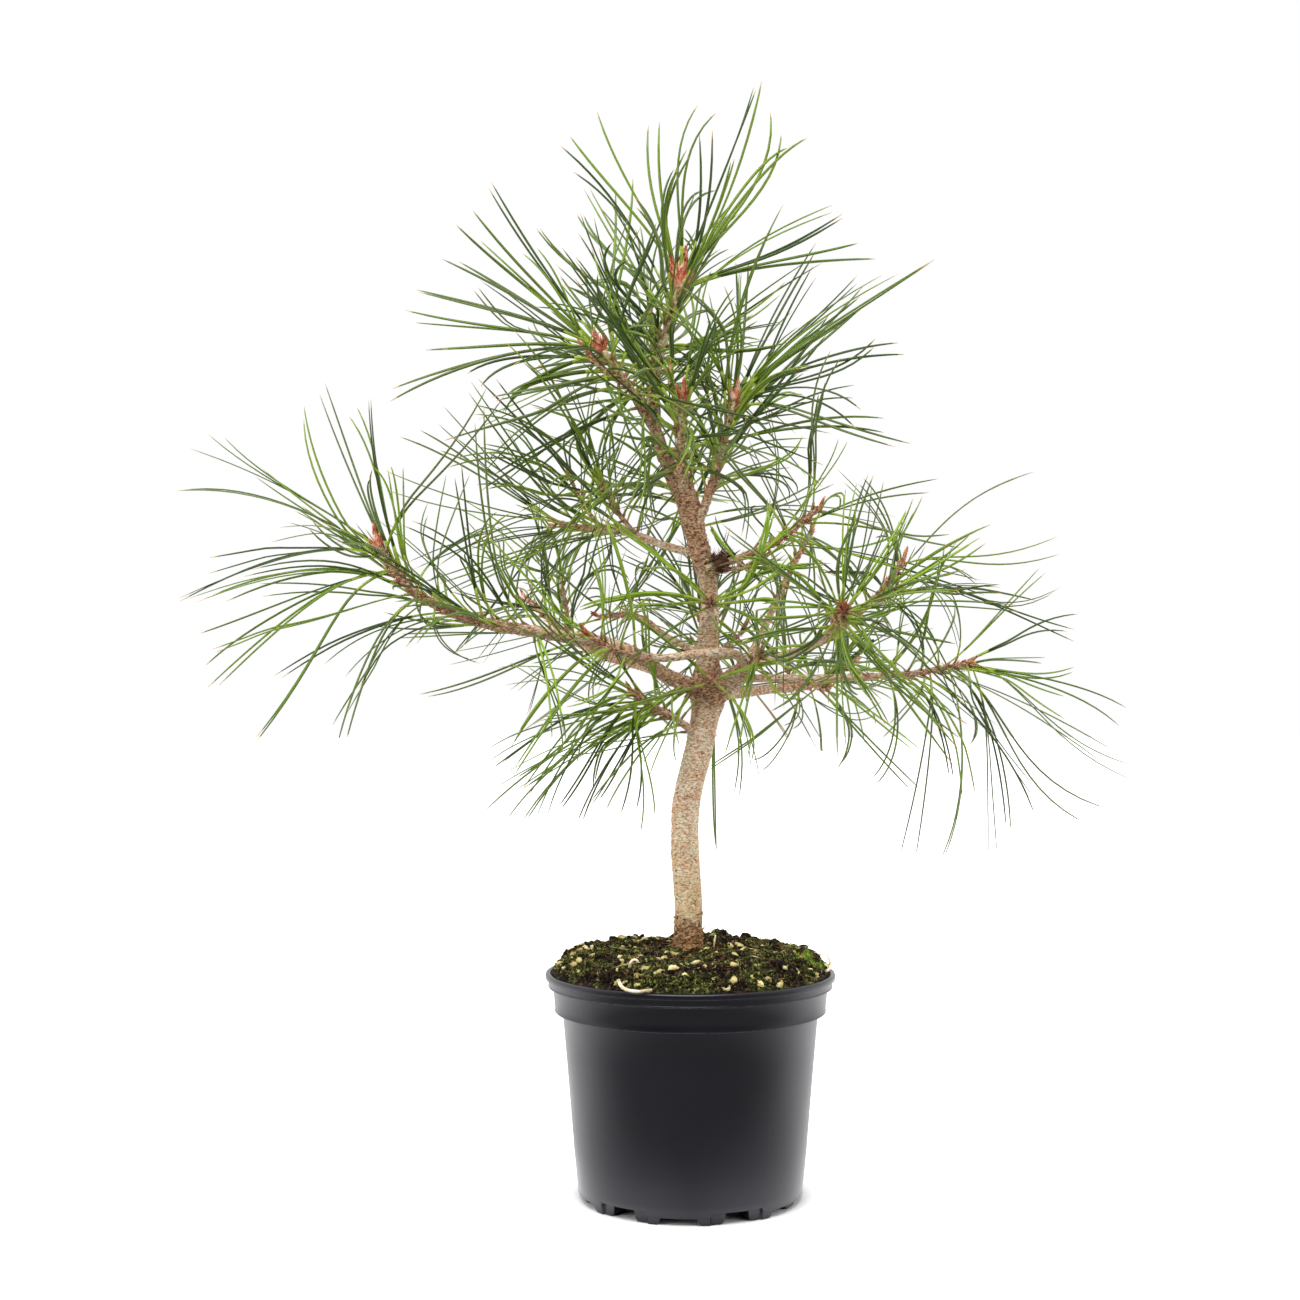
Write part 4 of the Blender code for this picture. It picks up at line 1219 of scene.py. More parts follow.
def scale_leaves(route, start, radii_mm, rng):
    along, across, third = rings_round(route)
    run = np.linalg.norm(route[-1] - route[0]) * (1 - start) / MM
    number = int(run / SCALE_LEAF_STEP_MM)
    share = start + (1 - start) * rng.random(number)
    index = (share * (len(route) - 1)).astype(int)
    turn = np.arange(number) * GOLDEN_TURN
    side = sideways(across[index], third[index], turn)
    radius = np.interp(share, (0, 1), radii_mm) * MM
    first = unit(along[index] + side * rng.uniform(0.1, 0.5, (number, 1)))
    return sliver_set(
        foot=route[index] + side * radius[:, None] * 0.92,
        first=first,
        main=first,
        last=first + side * rng.uniform(0.0, 0.9, (number, 1)),
        length=rng.uniform(0.0025, 0.0052, number),
        width=rng.uniform(0.0012, 0.0024, number),
    )


leaves = []
for name, sizes in sprays.items():
    ends = (2.9, 2.5) if name == "trunk_tip" else limb_radii[name]
    leaves.append(scale_leaves(routes[name], max(0.05, sizes[0] - 0.04), ends, rng))
sliver_piece("shoot_scale_leaves", "buds", BUDS, joined(leaves), 0.0, 1.0, 3, 0.4, SCALE_TAPER)
rounds = [scale_leaves(routes["old_cut"], 0.0, limb_radii["old_cut"], rng) for _ in range(CUT_SCALE_ROUNDS)]
old_scales = joined(rounds)
old_scales["length"] = old_scales["length"] * CUT_SCALE_GROWTH
ages = rng.choice((0.9, 1.0, 3.0), len(old_scales["foot"]))
sliver_piece("old_cut_scales", "bark", BARK, old_scales, 0.0, 1.0, 3, 0.4, SCALE_TAPER, youth=ages)

# %% [markdown]
# ## Buds
# Each shoot ends in a pointed bud wrapped in papery scales, with two or three smaller ones beside it. A bud
# is a turned core under a spiral of pointed scales. On the upper left shoot the scales have begun to open.


# %% Bud core
def bud_outline(share):
    """Radius of a bud at those shares of its length, 1 where it is widest."""
    return np.sin(np.pi * np.clip(share * 0.80 + 0.17, 0, 1)) ** 0.8


def bud_core(foot, way, length, radius):
    rows, sides = 10, 10
    share = np.linspace(0, 1, rows)
    route = foot + way * length * share[:, None]
    outline = radius * bud_outline(share) * (1 - share**5)
    _, across, third = rings_round(route)
    turn = 2 * np.pi * np.arange(sides) / sides
    out = sideways(across[:, None], third[:, None], turn)
    points = route[:, None] + out * outline[:, None, None]
    return np.concatenate([points.reshape(-1, 3), route[[0, -1]]]), tube_faces(rows, sides)


print("a bud's foot is", round(float(bud_outline(0.0)), 2), "of its widest radius")


# %% [markdown]
# The scales wind round the core as on a cone, and each overlaps the next. A larger opening lets them stand
# away from the core.

# %% Bud scales
BUD_SCALES = 34


def bud_scales(foot, way, length, radius, opening, rng):
    route = foot + way * length * np.linspace(0, 1, 12)[:, None]
    _, across, third = rings_round(route)
    order = np.arange(BUD_SCALES)
    share = (order + 0.5) / BUD_SCALES * 0.86
    index = (share * 11).astype(int)
    turn = order * GOLDEN_TURN
    side = sideways(across[index], third[index], turn)
    outline = radius * bud_outline(share)
    first = unit(way + side * (0.22 + opening) - side * share[:, None] * 0.42)
    return sliver_set(
        foot=foot + way * length * share[:, None] + side * outline[:, None] * 0.80,
        first=first,
        main=first,
        last=first + side * (opening - 0.15) + rng.normal(0, 0.12, (BUD_SCALES, 3)),
        length=length * rng.uniform(0.26, 0.36, BUD_SCALES),
        width=radius * rng.uniform(0.6, 0.85, BUD_SCALES),
    )


print(BUD_SCALES, "scales on each bud")


# %% [markdown]
# The buds that show in the photo have their own sizes, and all others take a small one. The smaller buds of
# a group stand round the main one and lean a little outwards.

# %% Buds
# limb: (length in mm, share of upright in its direction, side buds, opening)
BUD_SIZES = {
    "trunk_tip": (27, 0.9, 3, 0.06),
    "upper_left_bough": (14, 0.4, 4, 0.28),
    "left_long_bough": (15, 1.8, 2, 0.02),
    "centre_front_bough": (14, 0.6, 3, 0.05),
    "upper_right_bough": (14, 0.6, 3, 0.05),
    "right_front_bough": (11, 0.3, 3, 0.10),
    "right_long_bough": (11, 1.2, 1, 0.02),
    "right_upper_bough": (9, 1.0, 1, 0.02),
    "right_low_bough": (7, 0.7, 1, 0.05),
    "left_front_bough": (10, 0.6, 2, 0.15),
}
BUD_DEFAULT = (9, 0.5, 1, 0.05)
TWIG_BUD = (7, 0.3, 0, 0.06)
cores = []
core_faces = []
scales = []
count = 0
for name in sprays:
    size_mm, upright, side_buds, opening = TWIG_BUD if "twig" in name else BUD_SIZES.get(name, BUD_DEFAULT)
    route = routes[name]
    forward = bud_way(route, upright)
    size = size_mm * MM
    _, across, third = rings_round(route[-4:])
    shoots = [(forward, size, size * 0.115)]
    for side in range(side_buds):
        turn = 2 * np.pi * side / side_buds + rng.uniform(0, 2)
        lean = 0.40 * (math.cos(turn) * across[-1] + math.sin(turn) * third[-1])
        shoots.append((unit(forward + lean), size * rng.uniform(0.5, 0.8), size * 0.09))
    for direction, long, wide in shoots:
        foot = route[-1] - forward * 0.001 + (direction - forward) * 0.004
        points, faces = bud_core(foot, direction, long, wide)
        cores.append(points)
        core_faces.append(faces + count)
        scales.append(bud_scales(foot, direction, long, wide, opening, rng))
        count += len(points)
buds = mesh_object("bud_cores", np.concatenate(cores), np.concatenate(core_faces), [BUDS])
finish_piece(buds, "buds")
sliver_piece("bud_scales", "buds", BUDS, joined(scales), 0.0, 1.0, 4, 0.35, SCALE_TAPER)

# %% [markdown]
# ## Bark flakes
# Thin flakes stand off the trunk, few and small along it and larger round its foot, where the bark peels.

# %% Bark flakes
FLAKES = 620
FOOT_FLAKES = 130
height = np.concatenate([rng.uniform(0.166, 0.47, FLAKES), 0.163 + 0.022 * rng.random(FOOT_FLAKES) ** 2])
number = len(height)
index = np.searchsorted(trunk_route[:, 2], height)
along, across, third = rings_round(trunk_route)
turn = rng.uniform(0, 2 * np.pi, number)
side = sideways(across[index], third[index], turn)
round_way = np.cross(side, along[index])
large = np.r_[np.ones(FLAKES), np.full(FOOT_FLAKES, 2.2)]
flake_way = round_way * rng.normal(0, 1, (number, 1)) + along[index] * rng.normal(0, 0.8, (number, 1))
flake_way = unit(flake_way + side * 0.12)
flakes = sliver_set(
    foot=trunk_route[index] + side * (trunk_radii(trunk_route)[index] - 0.0002)[:, None],
    first=flake_way,
    main=flake_way,
    last=flake_way + side * rng.uniform(0.1, 0.7, (number, 1)),
    length=rng.uniform(0.0012, 0.0026, number) * large,
    width=rng.uniform(0.0007, 0.0014, number) * large,
)
youth = np.clip(rng.uniform(-0.3, 0.9, number) + (height < 0.19) * 0.5, 0, 1)
sliver_piece("bark_flakes", "bark", BARK, flakes, 0.0, 1.0, 3, 0.3, SCALE_TAPER, youth=youth)

# %% [markdown]
# ## Pot
# The pot is moulded: a bead at the rim, a band, a collar and a smooth tapering wall on twelve short feet.
# Turning one outline gives all but the feet, so the outline is worked out for each column of points, and
# the foot's height changes from column to column. A shallow recess runs over every other narrow notch.

# %% Pot outline
POT_COLUMNS = 240
FOOT_LINE = -96.9
FOOT_MIDDLES = (16.2, 43.6, 72.4, 107.6, 136.4, 163.8)
FOOT_HALF = 7.5
# degrees in from the edge of a foot, height of its rounded corner
FOOT_CORNER = ((0.5, 0.0034), (0.9, 0.0020), (1.5, 0.0009), (2.3, 0.0003), (3.2, 0.0))
RECESS_MIDDLES, RECESS_HALF, RECESS_DEPTH = (29.8, 150.2), 14.4, 0.0015
SET_BACK_FEET, SET_BACK_HALF, SET_BACK_DEPTH = (72.4, 107.6), 8.6, 0.0030
BEVEL = 0.8
LOW_LEDGE = 0.0046
HIGH_LEDGE = 0.0076


def turn_from_line(angle):
    """Degrees from the feet's line of symmetry, the same on both sides of it."""
    return abs((math.degrees(angle) - FOOT_LINE + 180) % 360 - 180)


def within(turn, middles, half):
    """1 near one of the middles, 0 away from them, with a short slope between."""
    share = max(half - abs(turn - middle) for middle in middles) / BEVEL
    share = min(1.0, max(0.0, share))
    return share * share * (3 - 2 * share)


def foot_shape(angle):
    """Ledge height, height of the lower edge, and how far the foot is set back, at that angle."""
    turn = turn_from_line(angle)
    recess = within(turn, RECESS_MIDDLES, RECESS_HALF)
    ledge = LOW_LEDGE + (HIGH_LEDGE - LOW_LEDGE) * recess
    inside = FOOT_HALF - min(abs(turn - middle) for middle in FOOT_MIDDLES)
    degrees, heights = zip((0.0, ledge), *FOOT_CORNER)
    low = ledge if inside < 0 else float(np.interp(inside, degrees, heights))
    back = RECESS_DEPTH * recess + SET_BACK_DEPTH * within(turn, SET_BACK_FEET, SET_BACK_HALF)
    return ledge, low, back


def pot_columns():
    """Even columns, with more of them at the edges of the feet and recesses."""
    angles = set(np.linspace(0, 2 * math.pi, POT_COLUMNS, endpoint=False))
    turns = []
    for middle in FOOT_MIDDLES:
        for inward in (-0.05, 0.0) + tuple(degrees for degrees, _ in FOOT_CORNER):
            turns += [middle - FOOT_HALF + inward, middle + FOOT_HALF - inward]
    for middles, half in ((RECESS_MIDDLES, RECESS_HALF), (SET_BACK_FEET, SET_BACK_HALF)):
        for middle in middles:
            for inward in (0.0, BEVEL / 2, BEVEL):
                turns += [middle - half + inward, middle + half - inward]
    for turn in turns:
        angles.update((math.radians(FOOT_LINE + turn), math.radians(FOOT_LINE - turn)))
    return sorted({round(angle % (2 * math.pi), 5) for angle in angles})


# radius and height, over the rim's bead and down the outside, and from the floor up the inside
OUTSIDE = (
    (0.0918, 0.1465), (0.0926, 0.1469), (0.0938, 0.1468), (0.0947, 0.1462), (0.0950, 0.1452),
    (0.0950, 0.1437), (0.0948, 0.1430), (0.0942, 0.1426), (0.0935, 0.1423), (0.0932, 0.1415),
    (0.0929, 0.1390), (0.0931, 0.1387), (0.0932, 0.1383), (0.0931, 0.1379), (0.0926, 0.1377),
    (0.0903, 0.1374), (0.0899, 0.1369), (0.0892, 0.1290), (0.0886, 0.1229), (0.0888, 0.1226),
    (0.0889, 0.1222), (0.0888, 0.1218), (0.0882, 0.1216), (0.0842, 0.1213), (0.0837, 0.1207),
    (0.0815, 0.0960), (0.0786, 0.0620), (0.0760, 0.0300), (0.0742, 0.0120), (0.0738, 0.0098),
)
INSIDE = (
    (0.0596, 0.0084), (0.0, 0.0084), (0.0, 0.0100), (0.0721, 0.0100),
    (0.0827, 0.1200), (0.0868, 0.1226), (0.0880, 0.1365), (0.0912, 0.1375),
)


def pot_shell():
    columns = pot_columns()
    points = []
    for angle in columns:
        ledge, low, back = foot_shape(angle)
        foot = (
            (0.0737, ledge + 0.0005),
            (0.0734, ledge),
            (0.0732 - back, ledge - 0.0001),
            (0.0729 - back, min(low + 0.0006, ledge - 0.0002)),
            (0.0726 - back, min(low + 0.0001, ledge - 0.0003)),
            (0.0720 - back, min(low, ledge - 0.0004)),
            (0.0600, min(low, ledge - 0.0004)),
        )
        for radius, height in OUTSIDE + foot + INSIDE:
            points.append((radius * math.cos(angle), radius * math.sin(angle), height))
    points = np.array(points) + AXIS
    rows = len(points) // len(columns)
    column = np.arange(len(columns))[:, None] * rows
    following = np.roll(column, -1, axis=0)
    row = np.arange(rows)[None, :]
    above = np.roll(row, -1, axis=1)
    quads = np.stack([column + row, following + row, following + above, column + above], axis=-1)
    return points, quads.reshape(-1, 4)


print(len(pot_columns()), "columns round the pot")

# %% [markdown]
# The columns are joined into one closed shell, inside and out. Edges that turn by more than forty degrees
# stay sharp, so the feet look moulded and the wall stays smooth.

# %% Pot
points, faces = pot_shell()
pot = mesh_object("pot_shell", points, halved(faces), [POT])
pot.data.set_sharp_from_angle(angle=math.radians(40))
finish_piece(pot, "pot_plastic", "pot")

# %% [markdown]
# ## Soil
# The peat stands in a flat-topped heap above the rim, steep and ragged at its edge. Its surface is a round
# grid lifted by noise at four sizes.

# %% Soil bed
SOIL_RINGS = 120
SOIL_COLUMNS = 360
SOIL_EDGE = 0.0914
RIM_INSIDE = 0.0929
SOIL_AT_RIM = 0.1445
HEAP = 0.0157
# radius and height of the hidden side of the bed, against the pot's inside
SOIL_SIDE = ((0.0718, 0.0103), (0.0822, 0.1197), (0.0875, 0.1364), (0.0908, 0.1385), (0.0912, 0.142))


def round_axis(radius, angle, height):
    """Points about the pot's axis, which stands at the origin here."""
    values = np.broadcast_arrays(radius * np.cos(angle), radius * np.sin(angle), height)
    return np.stack(values, axis=-1)


def soil_top(radius, angle):
    share = radius / RIM_INSIDE
    height = SOIL_AT_RIM + HEAP * (1 - share**10)
    spot = round_axis(radius, angle, height)
    calm = np.clip((SOIL_EDGE - radius) / 0.004, 0, 1) * np.clip((radius - 0.009) / 0.006, 0.2, 1)
    lift = 0.0020 * bumps(spot, 0.019, 5) + 0.0020 * bumps(spot, 0.008, 6)
    lift += 0.0022 * bumps(spot, 0.0036, 7) + 0.0009 * bumps(spot, 0.0018, 8)
    return height + lift * calm


def soil_bed():
    angle = 2 * np.pi * np.arange(SOIL_COLUMNS) / SOIL_COLUMNS
    radius = np.linspace(0.002, SOIL_EDGE, SOIL_RINGS)[::-1]
    ring, turn = np.meshgrid(radius, angle, indexing="ij")
    side = [round_axis(edge, angle, height) for edge, height in SOIL_SIDE]
    rows = np.concatenate([np.array(side), round_axis(ring, turn, soil_top(ring, turn))])
    ends = np.array([[0, 0, SOIL_SIDE[0][1]], [0, 0, float(rows[-1, :, 2].mean())]])
    points = np.concatenate([rows.reshape(-1, 3), ends]) + AXIS
    return points, tube_faces(len(rows), SOIL_COLUMNS)


points, faces = soil_bed()
soil = mesh_object("soil_bed", points, faces, [SOIL])
finish_piece(soil, "soil", "soil")

# %% [markdown]
# Loose matter covers it: crumbs of peat, tufts of moss, and pale grit and bark chips. Geometry Nodes strew
# them over the top of the bed. One group serves all kinds, and its inputs say which grains, how many on a
# square metre, how large, and how far they gather in patches.


# %% The scatter group
def scatter_group():
    tree = bpy.data.node_groups.new("scatter", "GeometryNodeTree")
    for name, kind in (
        ("Geometry", "Geometry"),
        ("Grains", "Collection"),
        ("Density", "Float"),
        ("Patch size", "Float"),
        ("Cover", "Float"),
        ("Smallest", "Float"),
        ("Largest", "Float"),
        ("Seed", "Int"),
        ("Finish", "Material"),
    ):
        tree.interface.new_socket(name, in_out="INPUT", socket_type="NodeSocket" + kind)
    tree.interface.new_socket("Geometry", in_out="OUTPUT", socket_type="NodeSocketGeometry")
    add = tree.nodes.new
    join = tree.links.new
    inner, outer = add("NodeGroupInput"), add("NodeGroupOutput")
    noise, mask = add("ShaderNodeTexNoise"), add("ShaderNodeMapRange")
    join(inner.outputs["Patch size"], noise.inputs["Scale"])
    join(noise.outputs["Fac"], mask.inputs["Value"])
    join(inner.outputs["Cover"], mask.inputs["From Min"])
    join(reckon(tree, "ADD", inner.outputs["Cover"], 0.08), mask.inputs["From Max"])
    amount = reckon(tree, "MULTIPLY", mask.outputs["Result"], inner.outputs["Density"])
    strewn = add("GeometryNodeDistributePointsOnFaces")
    join(inner.outputs["Geometry"], strewn.inputs["Mesh"])
    join(amount, strewn.inputs["Density"])
    join(inner.outputs["Seed"], strewn.inputs["Seed"])
    grains = node(tree, "GeometryNodeCollectionInfo", Separate_Children=True, Reset_Children=True)
    join(inner.outputs["Grains"], grains.inputs["Collection"])
    size, turn = add("FunctionNodeRandomValue"), add("FunctionNodeRandomValue")
    turn.data_type = "FLOAT_VECTOR"
    turn.inputs[1].default_value = (0.5, 0.5, 6.28)
    turn.inputs[0].default_value = (-0.5, -0.5, 0.0)
    join(inner.outputs["Smallest"], size.inputs[2])
    join(inner.outputs["Largest"], size.inputs[3])
    join(inner.outputs["Seed"], size.inputs["Seed"])
    laid = node(tree, "GeometryNodeInstanceOnPoints", Pick_Instance=True)
    join(strewn.outputs["Points"], laid.inputs["Points"])
    join(grains.outputs["Instances"], laid.inputs["Instance"])
    join(size.outputs[1], laid.inputs["Scale"])
    turned = add("FunctionNodeEulerToRotation")
    join(turn.outputs[0], turned.inputs[0])
    join(turned.outputs[0], laid.inputs["Rotation"])
    whole, finish = add("GeometryNodeRealizeInstances"), add("GeometryNodeSetMaterial")
    join(laid.outputs["Instances"], whole.inputs["Geometry"])
    join(whole.outputs["Geometry"], finish.inputs["Geometry"])
    join(inner.outputs["Finish"], finish.inputs["Material"])
    join(finish.outputs["Geometry"], outer.inputs["Geometry"])
    return tree


SCATTER = scatter_group()
print(len(SCATTER.nodes), "nodes in the scatter group")

# %% [markdown]
# Each grain is a rough ball pushed out of round, and a tuft of moss is a few small spikes from one spot.
# Three of each kind are enough, because every copy is turned and scaled by chance.


# %% Grains
def rough_ball(name, squash, seed):
    """A ball of 36 faces and radius 1, squashed from above and dented by noise."""
    turn = np.radians(60) * np.arange(6)
    rings = []
    for number, tilt in enumerate(np.radians((-42, 0, 42))):
        spin = turn + number * np.radians(30)
        ring = [np.cos(tilt) * np.cos(spin), np.cos(tilt) * np.sin(spin), np.full(6, np.sin(tilt))]
        rings.append(np.stack(ring, axis=1))
    points = np.concatenate(rings + [np.array([[0, 0, -1], [0, 0, 1]])])
    points = points * (1 + 0.42 * bumps(points + seed, 0.8, seed))[:, None] * np.array([1, 1, squash])
    return mesh_object(name, points, tube_faces(3, 6), [], smooth=False)


def moss_tuft(name, rng):
    """Seven three-sided spikes that fan out from one spot, about 1 high."""
    number = 7
    lean = rng.normal(0, 0.55, (number, 2))
    tip = np.column_stack([lean, rng.uniform(0.7, 1.1, number)])
    foot = tip * np.array([0.25, 0.25, 0]) - np.array([0, 0, 0.2])
    points = [tip]
    for turn in (0.0, 2.1, 4.2):
        points.append(foot + 0.16 * np.array([math.cos(turn), math.sin(turn), 0]))
    points = np.stack(points, axis=1).reshape(-1, 3)
    spike = np.array([(0, 1, 2), (0, 2, 3), (0, 3, 1), (1, 3, 2)])
    faces = (spike[None] + 4 * np.arange(number)[:, None, None]).reshape(-1, 3)
    return mesh_object(name, points, faces, [], smooth=False)


def grain_set(name, items):
    group = bpy.data.collections.new(name)
    for item in items:
        bpy.context.scene.collection.objects.unlink(item)
        group.objects.link(item)
    return group


CRUMBS = grain_set("crumbs", [rough_ball(f"crumb_{seed}", 0.8, seed) for seed in (1, 2, 3)])
FLAT_CHIPS = grain_set("flat_chips", [rough_ball(f"chip_{seed}", 0.45, seed) for seed in (4, 5, 6)])
TUFTS = grain_set("tufts", [moss_tuft(f"tuft_{number}", rng) for number in range(3)])

# %% [markdown]
# The strewing reads a patch of the bed's top, inside the rim. Moss and crumbs gather in patches, and the
# fresh green moss covers one small spot at the right rim.

# %% Strew the loose matter
def top_patch(name, middle_mm, reach):
    """A copy of the soil's top faces within reach of that place."""
    sides = 180
    angle = 2 * np.pi * np.arange(sides) / sides
    radius = np.linspace(0.010, 0.0892, 60)[::-1]
    ring, turn = np.meshgrid(radius, angle, indexing="ij")
    points = round_axis(ring, turn, soil_top(ring, turn)).reshape(-1, 3)
    quads = ring_quads(len(radius), sides)
    far = np.linalg.norm(points[quads].mean(axis=1) - np.array(middle_mm) * MM, axis=1)
    quads = quads[far < reach]
    mesh = bpy.data.meshes.new(name)
    mesh.from_pydata((points + AXIS).tolist(), [], quads.tolist())
    item = bpy.data.objects.new(name, mesh)
    bpy.context.scene.collection.objects.link(item)
    return item


def strew(name, patch, slot, settings):
    modifier = patch.modifiers.new("scatter", "NODES")
    modifier.node_group = SCATTER
    for socket in SCATTER.interface.items_tree:
        if socket.in_out == "INPUT" and socket.name in settings:
            modifier[socket.identifier] = settings[socket.name]
    patch.update_tag()
    made = bpy.data.meshes.new_from_object(patch.evaluated_get(bpy.context.evaluated_depsgraph_get()))
    made.name = name
    patch.modifiers.remove(modifier)
    item = bpy.data.objects.new(name, made)
    bpy.context.scene.collection.objects.link(item)
    finish_piece(item, slot)


whole_top = top_patch("whole_top", (0, 0, 160), 1.0)
fresh_patch = top_patch("fresh_patch", (78, -22, 158), 0.009)
# name, patch, slot, finish, grains, density, patch size, cover, smallest, largest, seed
STREWN = (
    ("soil_crumbs", whole_top, "soil", SOIL, CRUMBS, 170e3, 30.0, 0.32, 0.0006, 0.0022, 3),
    ("soil_clods", whole_top, "soil", SOIL, CRUMBS, 24e3, 60.0, 0.46, 0.0018, 0.0042, 8),
    ("moss_tufts", whole_top, "moss", MOSS, TUFTS, 240e3, 60.0, 0.48, 0.0012, 0.0028, 4),
    ("grit", whole_top, "chips", CHIPS, CRUMBS, 6.5e3, 20.0, 0.30, 0.0009, 0.0034, 5),
    ("bark_chips", whole_top, "chips", CHIPS, FLAT_CHIPS, 3.6e3, 20.0, 0.30, 0.0016, 0.0038, 6),
    ("fresh_moss", fresh_patch, "moss", FRESH_MOSS, TUFTS, 900e3, 60.0, 0.30, 0.0014, 0.0030, 7),
)
for name, patch, slot, finish, grains, *numbers in STREWN:
    values = dict(zip(("Density", "Patch size", "Cover", "Smallest", "Largest", "Seed"), numbers))
    strew(name, patch, slot, {"Grains": grains, "Finish": finish, **values})
for item in (whole_top, fresh_patch):
    bpy.data.objects.remove(item)
for group in (CRUMBS, FLAT_CHIPS, TUFTS):
    for item in list(group.objects):
        bpy.data.objects.remove(item)
    bpy.data.collections.remove(group)


# %% [markdown]
# Reddish peat fibres and a few pale straws lie on top. Four larger things are in their own places: a bent
# white root on the front lip, a white hook near it, a root at the right rim and a small upright stick.


# %% Fibres and straws
STREWN_REACH = 0.088


def lying_slivers(number, shortest, longest, width, rng):
    radius = STREWN_REACH * np.sqrt(rng.uniform(0.02, 1, number))
    angle = rng.uniform(0, 2 * np.pi, number)
    foot = round_axis(radius, angle, soil_top(radius, angle) + 0.001)
    way = rng.normal(0, 1, (number, 3)) * np.array([1, 1, 0.12])
    way[:, :2] -= 0.6 * foot[:, :2] / STREWN_REACH
    way = unit(way)
    return sliver_set(
        foot=foot + AXIS,
        first=unit(way + rng.normal(0, 0.3, (number, 3))),
        main=way,
        last=way + rng.normal(0, 0.6, (number, 3)) * np.array([1, 1, 0.4]),
        length=rng.uniform(shortest, longest, number),
        width=np.full(number, width),
    )


fibres = lying_slivers(420, 0.004, 0.014, 0.0004, rng)
sliver_piece("peat_fibres", "chips", FIBRES, fibres, 0, 1, 5, 0.8, NEEDLE_TAPER)
straws = lying_slivers(46, 0.008, 0.022, 0.0006, rng)
sliver_piece("straws", "chips", CHIPS, straws, 0, 1, 5, 0.6, NEEDLE_TAPER)

# %% [markdown]
# These four are thick enough to show their surface. They are made as the boughs are, from a route and two
# radii, with the same relief.

# %% Roots and stick
ROOT_ROUTES = {
    "lip_root": ((1.0, 0.7), ((-46, -84, 154), (-43, -88, 150), (-36, -90.5, 148.2), (-25, -91, 149.2))),
    "white_hook": ((0.8, 0.5), ((-39, -72, 160), (-38.5, -73, 163), (-36, -73, 165), (-33.5, -72.5, 163.5))),
    "rim_root": ((0.8, 0.5), ((87, -22, 150), (90, -14, 150.5), (91, -8, 154), (89.5, -4, 158))),
    "stick": ((0.8, 0.3), ((14.5, -12, 157), (15.2, -12, 165), (16.2, -12, 172))),
}
for name, ((first, last), way) in ROOT_ROUTES.items():
    route = smooth_route(way, 0.8)
    radii = np.linspace(first, last, len(route)) * MM
    points = bark_skin(route, radii, 12, np.zeros(len(route)), SEED)
    finish = CHIPS if name == "stick" else ROOTS
    finish_piece(mesh_object(name, points, tube_faces(len(route), 12), [finish]), "chips")

# %% [markdown]
# ## Studio
# A seamless white sheet lies under the pot. The camera sees it plain white, with a faint shadow at the feet.
# In the pot's satin wall the sheet is bright close to the feet and beside the pot and dark further in front,
# so the wall shines along its edges and its foot. The floor's own glow gives both, and a mask on the ray's
# kind tells the camera's view from what the wall mirrors.

# %% Floor
floor_points = np.array([(-9, -9, 0), (9, -9, 0), (9, 9, 0), (-9, 9, 0)], float)
floor = mesh_object("floor", floor_points, np.array([(0, 1, 2, 3)]), [])
material, tree, shader = new_material("floor", Roughness=0.9, Emission_Color=(1, 1, 1, 1))
places, parts = coordinates(tree)
away = tree.nodes.new("ShaderNodeVectorMath")
away.operation = "DISTANCE"
away.inputs[1].default_value = (AXIS[0], AXIS[1], 0.0)
tree.links.new(places, away.inputs[0])
aside = reckon(tree, "ABSOLUTE", reckon(tree, "SUBTRACT", parts["X"], AXIS[0]))
seen_glow = between(tree, away.outputs["Value"], From_Min=0.072, From_Max=0.100, To_Max=1.0)
far_side = between(tree, parts["Y"], From_Min=-0.20, From_Max=0.03, To_Max=1.35)
flanks = between(tree, aside, From_Max=0.040, To_Min=0.55, To_Max=1.15)
near = between(tree, away.outputs["Value"], From_Min=0.175, From_Max=0.085, To_Max=0.60)
# no glow within the pot's foot: a painted shadow under the pot in what the wall and feet mirror
outside_painted_shadow = between(tree, away.outputs["Value"], From_Min=0.068, From_Max=0.080, To_Max=1.0)
room_glow = reckon(tree, "MULTIPLY", reckon(tree, "MULTIPLY_ADD", flanks, near, far_side), outside_painted_shadow)
ray = tree.nodes.new("ShaderNodeLightPath")
glow = tree.nodes.new("ShaderNodeMix")
tree.links.new(ray.outputs["Is Camera Ray"], glow.inputs["Factor"])
tree.links.new(room_glow, glow.inputs["A"])
tree.links.new(seen_glow, glow.inputs["B"])
tree.links.new(glow.outputs["Result"], shader.inputs["Emission Strength"])
# the floor is dark grey to every ray but the camera's, so the pot mirrors painted shade and less light
# bounces up
shade = node(tree, "ShaderNodeMix", A=0.14, B=0.80)
tree.links.new(ray.outputs["Is Camera Ray"], shade.inputs["Factor"])
tree.links.new(shade.outputs["Result"], shader.inputs["Base Color"])
floor.data.materials.append(told(material))

# %% [markdown]
# The camera sees plain white behind the plant. All that is shiny sees a room that is dark in front and bright
# behind, because that is what the real wall mirrors. A mask on the ray's kind tells the two apart.

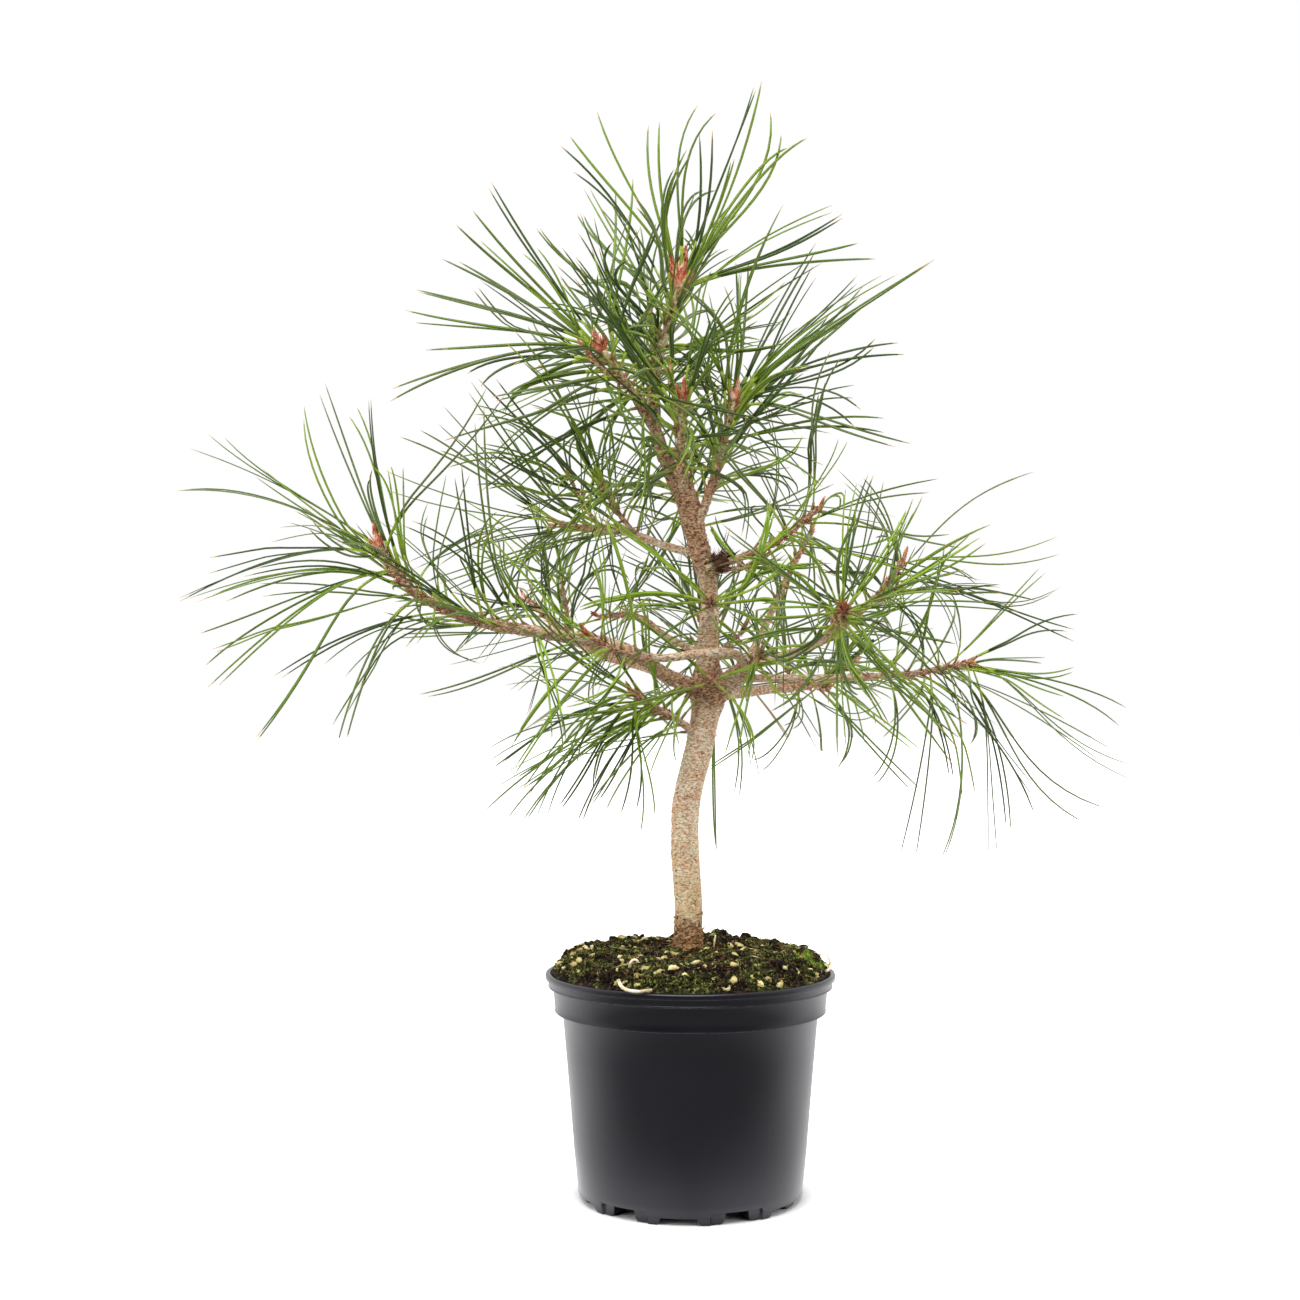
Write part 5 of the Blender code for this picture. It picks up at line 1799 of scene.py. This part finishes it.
# %% Surroundings
world = bpy.data.worlds.new("studio")
world.use_nodes = True
sky = world.node_tree
seen = sky.nodes.new("ShaderNodeLightPath")
_, parts = coordinates(sky, "Generated")
depth = between(sky, parts["Y"], From_Min=-0.60, From_Max=0.05, To_Min=0.02, To_Max=1.15)
room = sky.nodes["Background"]
sky.links.new(depth, room.inputs["Color"])
white = node(sky, "ShaderNodeBackground", Color=(1, 1, 1, 1))
choice = sky.nodes.new("ShaderNodeMixShader")
sky.links.new(seen.outputs["Is Camera Ray"], choice.inputs["Fac"])
sky.links.new(room.outputs["Background"], choice.inputs[1])
sky.links.new(white.outputs["Background"], choice.inputs[2])
sky.links.new(choice.outputs["Shader"], sky.nodes["World Output"].inputs["Surface"])
bpy.context.scene.world = world
print(world.name, "has", len(sky.nodes), "nodes")

# %% [markdown]
# Two boxes at the sides and a larger one above give soft light with hardly a shadow. The side boxes are kept
# out of mirrors, because the real pot shows no hard stripes.

# %% Soft lights
def soft_light(name, at, width, height, power, mirrored):
    light = bpy.data.lights.new(name, "AREA")
    light.shape = "RECTANGLE"
    light.size = width
    light.size_y = height
    light.energy = power
    item = bpy.data.objects.new(name, light)
    bpy.context.scene.collection.objects.link(item)
    item.location = at
    item.rotation_euler = (Vector((0, 0, 0.35)) - Vector(at)).to_track_quat("-Z", "Y").to_euler()
    item.visible_glossy = mirrored
    print(name, power, "W")


soft_light("left_box", (-1.3, -0.9, 0.55), 1.0, 1.4, 22, False)
soft_light("right_box", (1.3, -0.9, 0.55), 1.0, 1.4, 18, False)
soft_light("top_box", (-0.2, -1.1, 2.2), 1.8, 1.2, 48, True)
bpy.context.scene.view_settings.view_transform = "Standard"

# %% [markdown]
# ## Camera
# The photo was taken from the front, level with the middle of the plant. Fitting the pot's rings gives a
# distance of 1.28 m and a tilt of less than a degree upwards.

# %% Camera
camera_data = bpy.data.cameras.new("camera")
camera_data.lens = 54.0
camera_data.sensor_width = 36.0
camera = bpy.data.objects.new("camera", camera_data)
camera.location = tuple(EYE)
camera.rotation_euler = (math.radians(90.65), 0, 0)
bpy.context.scene.collection.objects.link(camera)
bpy.context.scene.camera = camera
print("camera at", EYE.round(3))

# %% [markdown]
# ## Sizes
# The imported model's box is printed once more at the end. Nothing may stand out of the imported model's box
# by more than a few millimetres.

# %% Sizes
print("packed", np.round(CAD_BOX, 3).tolist())
